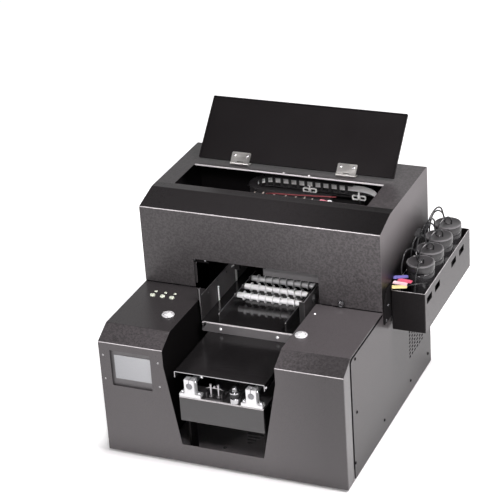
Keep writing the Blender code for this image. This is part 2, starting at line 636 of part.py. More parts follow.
def shut_to_open(obj):
    """Swing a piece drawn with the lid shut back to the lid's open stop."""
    axis = spot(LID_X[0], LID_AXIS_Y, LID_AXIS_Z)
    swing = Matrix.Rotation(-math.radians(LID_OPEN), 4, 'X')
    obj.data.transform(Matrix.Translation(axis) @ swing @ Matrix.Translation(-axis))
    return obj


def make_lid():
    x0, x1 = LID_X
    front = LID_AXIS_Y - LID_LENGTH
    back = LID_AXIS_Y - 3.6
    under = LID_AXIS_Z - 0.2
    low = HOOD_TOP + 0.4
    lid = shut_to_open(box("lid", (x0, x1), (front, back), (under, under + SHEET)))
    rims = {"front": ((x0, x1), (front, front + SHEET)), "back": ((x0, x1), (back - SHEET, back)),
            "left": ((x0, x0 + SHEET), (front, back)), "right": ((x1 - SHEET, x1), (front, back))}
    for side, (xs, ys) in rims.items():
        join(lid, shut_to_open(box("lid_rim_" + side, xs, ys, (low, under + 0.5), True)))
    for side, x in zip(("left", "right"), HINGE_X):
        cut(lid, shut_to_open(box("hinge_notch_" + side, (x - 20.5, x + 20.5), (back - 3, back + 3),
                                  (low - 3, under), True)))
    pivot(lid, sum(LID_X) / 2, LID_AXIS_Y, LID_AXIS_Z)
    paint(lid, *DARK_COAT)


def make_hinges():
    """Two butt hinges: a leaf on the lid and a leaf on the hood, on one pin."""
    y, z = LID_AXIS_Y, LID_AXIS_Z
    centre = (y, z)
    for side, x in zip(("left", "right"), HINGE_X):
        leaf = box("hinge_leaf_" + side, (x - 19.5, x + 19.5), (y - 23, y - 2.2), (z - 1.5, z - 0.5))
        for k, xs in enumerate(((x - 19.5, x - 7), (x + 7, x + 19.5))):
            join(leaf, rod("knuckle_%s_%d" % (side, k), 'X', centre, 2.7, *xs, 12, True))
        for k, xs in enumerate(((x - 6.7, x + 6.7),)):
            cut(leaf, box("leaf_gap_%s_%d" % (side, k), xs, (y - 4, y + 4), (z - 4, z + 4), True))
        cut(leaf, rod("knuckle_bore_" + side, 'X', centre, 1.6, x - 25, x + 25, 8, True))
        for obj in [leaf] + [m.object for m in leaf.modifiers]:
            shut_to_open(obj)
        pivot(leaf, x, y, z)
        paint(leaf, *CHROME)
        base = box("hinge_base_" + side, (x - 19.5, x + 19.5), (y + 3.3, y + 20),
                   (HOOD_TOP + GAP, HOOD_TOP + GAP + 1))
        join(base, box("base_tongue_" + side, (x - 6.4, x + 6.4), (y - 0.5, y + 5),
                       (HOOD_TOP + GAP, HOOD_TOP + GAP + 1), True))
        join(base, rod("base_knuckle_" + side, 'X', centre, 2.9, x - 6.4, x + 6.4, 12, True))
        join(base, rod("hinge_pin_" + side, 'X', centre, 1.2, x - 19.3, x + 19.3, 8, True))
        paint(base, *CHROME)


def make_push_buttons():
    for side, (x, y) in BUTTONS.items():
        z = BASE_TOP
        outline = [(8.1, z - 20), (9.0, z - 20), (9.0, z + GAP), (12, z + GAP), (12, z + 1.6),
                   (10.6, z + 3.2), (8.1, z + 3.2)]
        bezel = lathe("button_bezel_" + side, 'Z', (x, y), outline, 16)
        paint(bezel, *CHROME)
        outline = [(0, z - 14), (7.8, z - 14), (7.8, z + 3), (7.0, z + 5), (5.0, z + 6.4),
                   (2.5, z + 7.1), (0, z + 7.3)]
        cap = lathe("push_button_" + side, 'Z', (x, y), outline, 16)
        pivot(cap, x, y, z)
        paint(cap, *CHROME)


def make_keys():
    z = BASE_TOP
    outline = [(0, z - 9), (4, z - 9), (4, z - 6), (7, z - 6), (7, z - 4.5), (5, z - 4.5), (5, z + 1),
               (4.2, z + 1.8), (0, z + 2.1)]
    for name, x in KEY_X.items():
        key = lathe(name, 'Z', (x, KEY_Y), outline, 12)
        pivot(key, x, KEY_Y, z)
        paint(key, (0.7, 0.75, 0.68), 0.0, 0.4)
    lamps = box("indicator_lamps", (28, 88), (152, 184), (z - 12.6, z - 11))
    outline = [(0, z - 12), (3, z - 12), (3, z + 0.4), (2, z + 1.2), (0, z + 1.4)]
    for name, x in KEY_X.items():
        join(lamps, lathe("lamp_" + name, 'Z', (x, LAMP_Y), outline, 8, True))
    for k, x in enumerate((31, 85)):
        join(lamps, rod("lamp_post_%d" % k, 'Z', (x, LAMP_Y + 3), 2, z - 12, z - SHEET - GAP, 10, True))
    paint(lamps, (0.6, 0.65, 0.58), 0.0, 0.4)


def make_lock():
    x, z, y = 400.0, FOOT + 261, HOOD_Y
    outline = [(0, y - 4), (5, y - 4), (6.8, y - 3), (6.8, y - GAP), (6, y - GAP), (6, y + 12), (0, y + 12)]
    lock = lathe("hood_lock", 'Y', (x, z), [(r, h - CENTRE_Y) for r, h in outline], 14)
    lock.data.transform(Matrix.Translation(Vector((0, CENTRE_Y * MM, 0))))
    join(lock, box("lock_cam", (x - 5, x + 5), (y + 10, y + 12), (z - 4, z + 20), True))
    pivot(lock, x, y, z)
    paint(lock, (0.04, 0.04, 0.04), 0.5, 0.3)


def make_power_inlet():
    y = DEPTH - 2
    inlet = box("power_inlet", (377, 433), (y + GAP, y + 2.3), (FOOT + 32, FOOT + 72))
    join(inlet, box("inlet_body", (382.3, 409.7), (y - 16, y + 1), (FOOT + 42.3, FOOT + 61.7), True))
    cut(inlet, box("inlet_socket", (384.5, 407.5), (y - 12, y + 5), (FOOT + 44.5, FOOT + 59.5), True))
    join(inlet, box("switch_body", (414.3, 427.7), (y - 12, y + 1), (FOOT + 42.3, FOOT + 61.7), True))
    cut(inlet, box("switch_well", (416, 426), (y - 8, y + 5), (FOOT + 44, FOOT + 60), True))
    paint(inlet, (0.03, 0.03, 0.03), 0.0, 0.4)
    rocker = prism("rocker_switch", [(y - 3, FOOT + 44.6), (y + 1.6, FOOT + 44.6), (y + 0.6, FOOT + 52),
                                     (y + 3.4, FOOT + 58), (y - 3, FOOT + 59.4)], 'X', 416.4, 425.6)
    pivot(rocker, 421, y - 3, FOOT + 52)
    paint(rocker, (0.4, 0.02, 0.02), 0.0, 0.35)


def start_scene():
    global parts, tools
    for obj in list(bpy.data.objects):
        bpy.data.objects.remove(obj)
    scene = bpy.context.scene
    scene.unit_settings.system = 'METRIC'
    parts = bpy.data.collections.new(NAME)
    tools = bpy.data.collections.new("cutters")
    scene.collection.children.link(parts)
    scene.collection.children.link(tools)


def build():
    start_scene()
    make_pan()
    make_feet()
    make_front_cover()
    make_side_panels()
    make_hood()
    make_screen()
    make_crossbars()
    make_supports()
    make_tensioner()
    make_pulleys()
    make_belt()
    make_table_motor()
    make_table()
    make_fixture_tray()
    make_fixture_walls()
    make_rollers()
    make_gantry()
    make_carriage()
    make_chain()
    make_ribbon()
    make_board()
    make_tank_box()
    make_bottles()
    make_tubes()
    make_lid()
    make_hinges()
    make_push_buttons()
    make_keys()
    make_lock()
    make_power_inlet()


build()
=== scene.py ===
"""Looks for the flatbed UV printer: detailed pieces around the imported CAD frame."""

import json
import math

import bmesh
import bpy
from mathutils import Matrix, Vector


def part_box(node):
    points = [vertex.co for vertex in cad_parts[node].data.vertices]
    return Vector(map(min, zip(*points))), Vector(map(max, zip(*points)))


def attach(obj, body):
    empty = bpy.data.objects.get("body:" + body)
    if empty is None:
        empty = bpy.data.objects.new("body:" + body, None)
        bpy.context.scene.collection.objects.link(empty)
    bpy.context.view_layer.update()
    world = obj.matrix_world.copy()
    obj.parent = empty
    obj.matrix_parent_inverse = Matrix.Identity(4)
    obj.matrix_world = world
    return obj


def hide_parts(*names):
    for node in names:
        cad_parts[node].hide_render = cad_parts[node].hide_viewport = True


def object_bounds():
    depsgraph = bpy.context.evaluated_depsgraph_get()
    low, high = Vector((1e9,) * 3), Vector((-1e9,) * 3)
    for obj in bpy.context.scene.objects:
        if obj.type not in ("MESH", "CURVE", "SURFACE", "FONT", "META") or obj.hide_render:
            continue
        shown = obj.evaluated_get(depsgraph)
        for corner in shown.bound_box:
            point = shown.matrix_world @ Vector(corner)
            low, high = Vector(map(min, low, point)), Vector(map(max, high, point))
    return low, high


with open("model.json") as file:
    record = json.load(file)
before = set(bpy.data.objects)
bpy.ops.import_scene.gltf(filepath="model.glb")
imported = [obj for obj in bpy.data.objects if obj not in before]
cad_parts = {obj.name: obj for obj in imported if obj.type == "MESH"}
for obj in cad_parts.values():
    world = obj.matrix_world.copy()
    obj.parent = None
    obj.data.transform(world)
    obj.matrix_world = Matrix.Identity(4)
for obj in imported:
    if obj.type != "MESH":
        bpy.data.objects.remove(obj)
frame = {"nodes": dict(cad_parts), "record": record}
cad_low, cad_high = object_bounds()

MM = 0.001
scene = bpy.context.scene
collection = scene.collection

# printer sizes in millimetres from the housing's front left corner, z from the floor
FOOT = 5.0
WIDTH, DEPTH, SHEET = 480.0, 490.0, 1.5
BASE_TOP, FACE_TOP, BEVEL_Y = FOOT + 252, FOOT + 232, 39.0
HOOD_Y, HOOD_TOP, HOOD_FACE_TOP, HOOD_BEVEL_Y = 212.0, FOOT + 426, FOOT + 410, 272.0
CHANNEL = (130.0, 350.0)
ROD_X, ROD_Z, ROD_R = (178.5, 300.5), FOOT + 165, 6.0
BAR_TOP, BELT_X, BELT_Z = FOOT + 142, 264.5, FOOT + 157
PULLEY_Y, PULLEY_R = (12.0, 432.0), 8.0
COVER_TOP, TRAY_TOP = FOOT + 194, FOOT + 212
ROLLERS = {"roller_front": 250.0, "roller_middle": 287.0, "roller_rear": 322.0}
ROLLER_Z, RAIL_X = FOOT + 227, (172.0, 308.0)
LID_Y, LID_Z, LID_LENGTH, LID_X = 404.0, HOOD_TOP + 3.5, 135.0, (40.0, 442.0)
LID_OPEN, HINGE_X = 134.7, (127.0, 346.0)
TANK_X, TANK_Y, TANK_Z = (484.0, 549.0), (252.0, 538.3), (FOOT + 199, FOOT + 280)
BOTTLE_X, BOTTLE_Y, BOTTLE_R = 517.0, (327.0, 384.0, 441.0, 498.0), 26.0
BOTTLE_TOP = FOOT + 309
BUTTONS = {"left": (100.6, 95.8), "right": (366.6, 92.4)}
KEYS = {"key_left": 38.0, "key_middle": 58.5, "key_right": 78.0}
KEY_Y, LAMP_Y = 160.5, 176.0
LOCK_X, LOCK_Z = 400.0, FOOT + 261
SCREEN, SCREEN_FRAME = (28.6, 102.9, FOOT + 157.1, FOOT + 206.9), ((20.5, 106.5), (FOOT + 141, FOOT + 219))
TUBE_PORT, WALL_Y, WALL_Z = (405, 439, FOOT + 308, FOOT + 324), (165, 395), FOOT + 198
WALL_LEFT, WALL_RIGHT, BOARD_Z = (134, 136), (344, 346), FOOT + 345
GATE_X, GATE_TOP = (105, 357), FOOT + 313
HATCH = (38, 428, 293, 389)
CHAIN_START, CHAIN_END, CHAIN_Y, CHAIN_BEND, CHAIN_RADIUS = 340.0, 326.0, 462.0, (175.0, 431.0), 31.0
CHAIN_Z, CHAIN_PITCH = (FOOT + 364, FOOT + 384), 16.8
BELT_TEETH, ROLLER_DISCS, CAP_RIBS = 84, 8, 36
VENT_ROWS, VENT_COLUMNS, VENT_STEP = 8, 6, (15, 7.8)
UP, DOWN, FRONT, BACK = (0, 0, 1), (0, 0, -1), (0, -1, 0), (0, 1, 0)
LEFT, RIGHT = (-1, 0, 0), (1, 0, 0)

# the camera and lights, in metres and degrees
CAMERA_PLACE, CAMERA_ANGLES, LENS = (1.219335, -2.867941, 1.876759), (63.64525, 3.53878, 22.57259), 133.32
LAMP_TINT = (1.0, 0.962, 0.978)
FULL_SPREAD = math.pi
# name, place, target, edge length, watts, spread
LAMPS = (("key_right", (0.92, -0.20, 1.42), (0.12, -0.05, 0.28), 0.6, 29, FULL_SPREAD),
         ("overhead", (-0.75, 0.15, 2.2), (0.0, -0.05, 0.25), 0.7, 1.5, FULL_SPREAD),
         ("front_box", (-1.30, -1.90, 1.05), (-0.06, 0.0, 0.2), 0.5, 12, FULL_SPREAD),
         ("gate_fill", (0.30, -1.05, 1.22), (-0.03, 0.03, 0.28), 0.2, 1.3, 1.0))
# height on the sky from 0 to 1, brightness
BACKDROP = ((0.34, 0.95), (0.48, 0.36), (0.58, 0.13), (0.72, 0.05))
FLOOR_RADIUS = 9.0


def at(x, y, z):
    """Printer millimetres to scene metres."""
    return Vector((cad_low[0] + x * MM, cad_low[1] + y * MM, z * MM))


def across(axis, a, b, c):
    """The point at (a, b) across an axis and c along it."""
    return at(*{'X': (c, a, b), 'Y': (a, c, b), 'Z': (a, b, c)}[axis])


# ---------------------------------------------------------------- camera, light, floor

def make_camera():
    """The photograph's view, fitted to the housing's corners."""
    data = bpy.data.cameras.new("camera")
    camera = bpy.data.objects.new("camera", data)
    collection.objects.link(camera)
    camera.location = CAMERA_PLACE
    camera.rotation_euler = [math.radians(angle) for angle in CAMERA_ANGLES]
    data.sensor_width = 36.0
    data.lens = LENS
    data.clip_end = 50.0
    scene.camera = camera


def make_lamp(name, place, target, edge, watts, spread):
    """A square area lamp that faces its target."""
    data = bpy.data.lights.new(name, 'AREA')
    data.shape = 'RECTANGLE'
    data.size = data.size_y = edge
    data.energy = watts
    data.color = LAMP_TINT
    data.spread = spread
    lamp = bpy.data.objects.new(name, data)
    collection.objects.link(lamp)
    lamp.location = place
    lamp.rotation_euler = (Vector(target) - Vector(place)).to_track_quat('-Z', 'Y').to_euler()


def make_world():
    """A sky that is bright up to the horizon and dim overhead."""
    world = bpy.data.worlds.new("studio")
    scene.world = world
    world.use_nodes = True
    nodes, links = world.node_tree.nodes, world.node_tree.links
    coords = nodes.new('ShaderNodeTexCoord')
    split = nodes.new('ShaderNodeSeparateXYZ')
    ramp = nodes.new('ShaderNodeValToRGB')
    links.new(coords.outputs['Generated'], split.inputs[0])
    links.new(split.outputs['Z'], ramp.inputs[0])
    bottom, top = ramp.color_ramp.elements
    bottom.position, bottom.color = 0.0, (1.0, 1.0, 1.0, 1.0)
    top.position, top.color = 1.0, (0.03, 0.03, 0.032, 1.0)
    for place, value in BACKDROP:
        ramp.color_ramp.elements.new(place).color = (value, value, value, 1.0)
    links.new(ramp.outputs[0], nodes['Background'].inputs['Color'])
    nodes['Background'].inputs['Strength'].default_value = 1.0


def make_floor():
    """A white floor with a painted contact shadow that darkens it softly near the printer's footprint."""
    bm = bmesh.new()
    bmesh.ops.create_circle(bm, cap_ends=True, segments=96, radius=FLOOR_RADIUS)
    mesh = bpy.data.meshes.new("floor")
    bm.to_mesh(mesh)
    bm.free()
    floor = bpy.data.objects.new("floor", mesh)
    collection.objects.link(floor)
    mat = bpy.data.materials.new("floor_white")
    mat.use_nodes = True
    shader = mat.node_tree.nodes['Principled BSDF']
    shader.inputs['Base Color'].default_value = (0.9, 0.9, 0.9, 1)
    shader.inputs['Roughness'].default_value = 0.9
    shader.inputs['Specular IOR Level'].default_value = 0.1
    nodes, links = mat.node_tree.nodes, mat.node_tree.links
    split = nodes.new('ShaderNodeSeparateXYZ')
    links.new(nodes.new('ShaderNodeTexCoord').outputs['Object'], split.inputs[0])

    def step(operation, a, b):
        made = nodes.new('ShaderNodeMath')
        made.operation = operation
        for slot, value in enumerate((a, b)):
            if isinstance(value, bpy.types.NodeSocket):
                links.new(value, made.inputs[slot])
            else:
                made.inputs[slot].default_value = value
        return made.outputs[0]

    # distance outside the printer's footprint, for the painted soft contact shadow
    low, high = at(0, 0, 0), at(WIDTH, DEPTH, 0)
    gaps = []
    for k, axis in enumerate('XY'):
        middle = step('SUBTRACT', split.outputs[axis], (low[k] + high[k]) / 2)
        reach = step('SUBTRACT', step('ABSOLUTE', middle, 0.0), (high[k] - low[k]) / 2)
        gaps.append(step('POWER', step('MAXIMUM', reach, 0.0), 2.0))
    gap = step('SQRT', step('ADD', *gaps), 0.0)
    ramp = nodes.new('ShaderNodeMapRange')
    ramp.interpolation_type = 'SMOOTHSTEP'
    links.new(gap, ramp.inputs[0])
    for key, value in (('From Min', -0.01), ('From Max', 0.055), ('To Min', 0.02), ('To Max', 0.74)):
        ramp.inputs[key].default_value = value
    shader.inputs['Emission Color'].default_value = (1, 1, 1, 1)
    links.new(ramp.outputs[0], shader.inputs['Emission Strength'])
    mesh.materials.append(mat)


# ---------------------------------------------------------------- materials

COAT_TINT = (1.0, 0.955, 0.972, 1.0)
EDGE_DOT = 1.0 - 1.0 / 6.0


class Look:
    """A procedural material on one Principled shader."""

    def __init__(self, name, colour, rough, metallic=0.0, **sockets):
        self.mat = bpy.data.materials.new(name)
        self.mat.use_nodes = True
        self.tree = self.mat.node_tree
        self.shader = self.tree.nodes['Principled BSDF']
        self.shader.inputs['Base Color'].default_value = (*colour, 1.0)
        self.shader.inputs['Roughness'].default_value = rough
        self.shader.inputs['Metallic'].default_value = metallic
        for key, value in sockets.items():
            self.shader.inputs[key.replace('_', ' ')].default_value = value
        self.coords = self.tree.nodes.new('ShaderNodeTexCoord').outputs['Object']
        self.bumps = None

    def node(self, kind, inputs=None, **props):
        """A shader node with its inputs linked or set."""
        made = self.tree.nodes.new(kind)
        for key, value in props.items():
            setattr(made, key, value)
        for key, value in (inputs or {}).items():
            if isinstance(value, bpy.types.NodeSocket):
                self.tree.links.new(value, made.inputs[key])
            else:
                made.inputs[key].default_value = value
        return made

    def noise(self, scale, detail=2.0, rough=0.5, stretch=None):
        """Noise from 0 to 1; a larger scale is finer."""
        place = self.coords
        if stretch:
            place = self.node('ShaderNodeMapping', {'Vector': place, 'Scale': stretch}).outputs[0]
        made = self.node('ShaderNodeTexNoise', {'Vector': place, 'Scale': scale, 'Detail': detail,
                                                'Roughness': rough})
        return made.outputs['Fac']

    def span(self, value, lo, hi, out_lo=0.0, out_hi=1.0):
        """Map one range to another, clamped."""
        made = self.node('ShaderNodeMapRange', {'Value': value, 'From Min': lo, 'From Max': hi,
                                                'To Min': out_lo, 'To Max': out_hi})
        return made.outputs[0]

    def math(self, operation, a, b):
        """Arithmetic on two sockets or numbers."""
        return self.node('ShaderNodeMath', {0: a, 1: b}, operation=operation).outputs[0]

    def blend(self, fac, low, high):
        """Colour between low and high, each a colour or a socket."""
        made = self.node('ShaderNodeMix', {'Factor': fac}, data_type='RGBA')
        for key, value in ((6, low), (7, high)):
            if isinstance(value, bpy.types.NodeSocket):
                self.tree.links.new(value, made.inputs[key])
            else:
                made.inputs[key].default_value = (*value, 1.0)
        return made.outputs[2]

    def paint(self, socket):
        self.tree.links.new(socket, self.shader.inputs['Base Color'])

    def rough(self, socket):
        self.tree.links.new(socket, self.shader.inputs['Roughness'])

    def bump(self, height, strength, depth):
        """Relief from a height socket, on top of the relief so far; depth in millimetres."""
        made = self.node('ShaderNodeBump', {'Height': height, 'Strength': strength,
                                            'Distance': depth * MM})
        if self.bumps:
            self.tree.links.new(self.bumps, made.inputs['Normal'])
        self.bumps = made.outputs[0]
        self.tree.links.new(self.bumps, self.shader.inputs['Normal'])

    def edges(self, radius=0.8):
        """1 on worn edges, 0 on flat faces."""
        rounded_normal = self.node('ShaderNodeBevel', {'Radius': radius * MM}, samples=4).outputs[0]
        plain = self.node('ShaderNodeNewGeometry').outputs['Normal']
        dot = self.node('ShaderNodeVectorMath', {0: rounded_normal, 1: plain},
                        operation='DOT_PRODUCT').outputs['Value']
        return self.span(dot, 1.0, EDGE_DOT)


def shade(colour, factor):
    """A colour made lighter or darker."""
    return tuple(min(1.0, c * factor) for c in colour)


def coat(name, colour, rough, grain, pebble=0.0, hood=False, worn=1.8, spec=0.7, fade=None):
    """Textured powder coat: orange-peel grain, slow unevenness, lighter worn edges."""
    look = Look(name, colour, rough, Specular_IOR_Level=spec, Specular_Tint=COAT_TINT)
    peel = look.noise(430.0, 3.0, 0.6)
    pores = look.noise(1100.0, 2.0, 0.6)
    slow = look.noise(7.0, 2.0, 0.5)
    tone = look.blend(look.span(peel, 0.3, 0.7), shade(colour, 1 - 0.5 * grain),
                      shade(colour, 1 + 0.7 * grain))
    tone = look.blend(look.span(slow, 0.3, 0.7, 0.0, 0.5), tone, shade(colour, 1.18))
    if pebble:
        lumps = look.noise(240.0, 3.0, 0.75)
        where = facing(look, hood)
        fleck = look.math('MULTIPLY', where, look.span(lumps, 0.46, 0.62, 0.0, 1.0))
        pit = look.math('MULTIPLY', where, look.span(lumps, 0.52, 0.36, 0.0, 0.75))
        tone = look.blend(fleck, tone, shade(colour, 1.0 + 1.3 * pebble))
        tone = look.blend(pit, tone, shade(colour, 0.5))
        look.bump(look.math('MULTIPLY', where, lumps), 0.9 * pebble, 0.55)
    if fade:
        tone = faded(look, tone, fade)
    mask = look.math('MULTIPLY', look.edges(), look.span(peel, 0.35, 0.6, 0.35, 1.0))
    look.paint(look.blend(mask, tone, shade(colour, worn)))
    look.rough(look.span(pores, 0.25, 0.75, rough - 0.06, rough + 0.08))
    look.bump(peel, min(1.0, 0.25 + grain), 0.08 + 0.2 * grain)
    look.bump(pores, 0.3, 0.04)
    return look.mat


def facing(look, hood):
    """1 on the faces that carry the coarse grain: the hood's front and top, the cover's bevel."""
    normal = look.node('ShaderNodeNewGeometry').outputs['Normal']
    split = look.node('ShaderNodeSeparateXYZ', {0: normal})
    up = split.outputs['Z']
    if not hood:
        low = look.span(up, 0.55, 0.75)
        return look.math('MULTIPLY', low, look.span(up, 0.985, 0.93))
    flat = look.math('MAXIMUM', look.span(up, 0.985, 0.995), look.span(up, 0.5, 0.1))
    return look.math('MULTIPLY', flat, look.span(look.math('ABSOLUTE', split.outputs['X'], 0.0), 0.6, 0.3))


def faded(look, tone, fade):
    """Scale a tone from a factor at one place along an axis to 1 at another."""
    axis, start, end, factor = fade
    along = look.node('ShaderNodeSeparateXYZ', {0: look.coords}).outputs[axis]
    k = 'XYZ'.index(axis)
    scale = look.span(along, at(start, start, start)[k], at(end, end, end)[k], factor, 1.0)
    return look.node('ShaderNodeVectorMath', {0: tone, 'Scale': scale}, operation='SCALE').outputs[0]


def satin(name, colour, rough, waves=0.15, worn=2.2, spec=0.5, fade=None, **more):
    """Smooth satin paint or sheet, with slight waviness, dust and handling marks."""
    look = Look(name, colour, rough, Specular_IOR_Level=spec, **more)
    fine = look.noise(900.0, 2.0, 0.5)
    slow = look.noise(11.0, 3.0, 0.55)
    dust = look.noise(160.0, 4.0, 0.7)
    tone = look.blend(look.span(dust, 0.52, 0.72, 0.0, 0.35), colour, shade(colour, 1.45))
    if fade:
        tone = faded(look, tone, fade)
    tone = look.blend(look.math('MULTIPLY', look.edges(0.6), 0.8), tone, shade(colour, worn))
    look.paint(tone)
    look.rough(look.span(slow, 0.3, 0.7, rough - 0.05, rough + 0.07))
    look.bump(slow, waves, 0.6)
    look.bump(fine, 0.12, 0.03)
    return look.mat


def metal(name, colour, rough, stretch=(1.0, 1.0, 1.0), scale=260.0, scratch=0.25, tint=0.82):
    """Bare or plated metal with brushing, smudges and scratches."""
    look = Look(name, colour, rough, 1.0)
    brush = look.noise(scale, 3.0, 0.6, stretch)
    smudge = look.noise(34.0, 3.0, 0.6)
    look.paint(look.blend(look.span(brush, 0.3, 0.7), shade(colour, tint), colour))
    look.rough(look.span(smudge, 0.3, 0.72, rough * 0.8, rough * 1.35 + 0.03))
    look.bump(brush, scratch, 0.03)
    return look.mat


def plastic(name, colour, rough, grain=0.3, **more):
    """Moulded plastic with a fine spark-eroded grain."""
    look = Look(name, colour, rough, **more)
    fine = look.noise(1500.0, 2.0, 0.6)
    slow = look.noise(26.0, 3.0, 0.6)
    look.paint(look.blend(look.span(slow, 0.3, 0.7), shade(colour, 0.86), shade(colour, 1.14)))
    look.rough(look.span(fine, 0.3, 0.7, max(0.02, rough - 0.06), rough + 0.06))
    look.bump(fine, grain, 0.04)
    return look.mat


def screen_look(name):
    """Backlit panel: soft gradient under a faint pixel raster."""
    look = Look(name, (0.5, 0.5, 0.53), 0.18, Specular_IOR_Level=0.4)
    low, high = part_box("touch_screen")
    spread = look.node('ShaderNodeSeparateXYZ', {0: look.coords})
    across = look.span(spread.outputs['X'], low[0], high[0])
    up = look.span(spread.outputs['Z'], low[2], high[2])
    mix = look.math('ADD', look.math('MULTIPLY', across, 0.45), look.math('MULTIPLY', up, 0.35))
    tone = look.blend(look.span(mix, 0.0, 0.8), (0.215, 0.22, 0.23), (0.315, 0.32, 0.33))
    raster = look.node('ShaderNodeTexWave', {'Vector': look.coords, 'Scale': 620.0},
                       bands_direction='X').outputs['Fac']
    lines = look.node('ShaderNodeTexWave', {'Vector': look.coords, 'Scale': 620.0},
                      bands_direction='Z').outputs['Fac']
    grid = look.span(look.math('MULTIPLY', raster, lines), 0.0, 1.0, 0.0, 0.22)
    tone = look.blend(grid, tone, (0.72, 0.72, 0.75))
    look.paint(tone)
    look.tree.links.new(tone, look.shader.inputs['Emission Color'])
    look.shader.inputs['Emission Strength'].default_value = 0.05
    look.bump(look.noise(300.0), 0.03, 0.02)
    return look.mat


def board_look(name):
    """Green board with a brick pattern of tracks."""
    look = Look(name, (0.02, 0.13, 0.07), 0.35)
    cells = look.node('ShaderNodeTexBrick', {'Vector': look.coords, 'Scale': 130.0,
                                             'Mortar Size': 0.045, 'Color1': (0.015, 0.10, 0.05, 1),
                                             'Color2': (0.02, 0.14, 0.07, 1),
                                             'Mortar': (0.05, 0.26, 0.13, 1)})
    look.paint(cells.outputs['Color'])
    look.bump(cells.outputs['Fac'], 0.4, 0.05)
    return look.mat


BLACK = (0.0415, 0.0380, 0.0394)
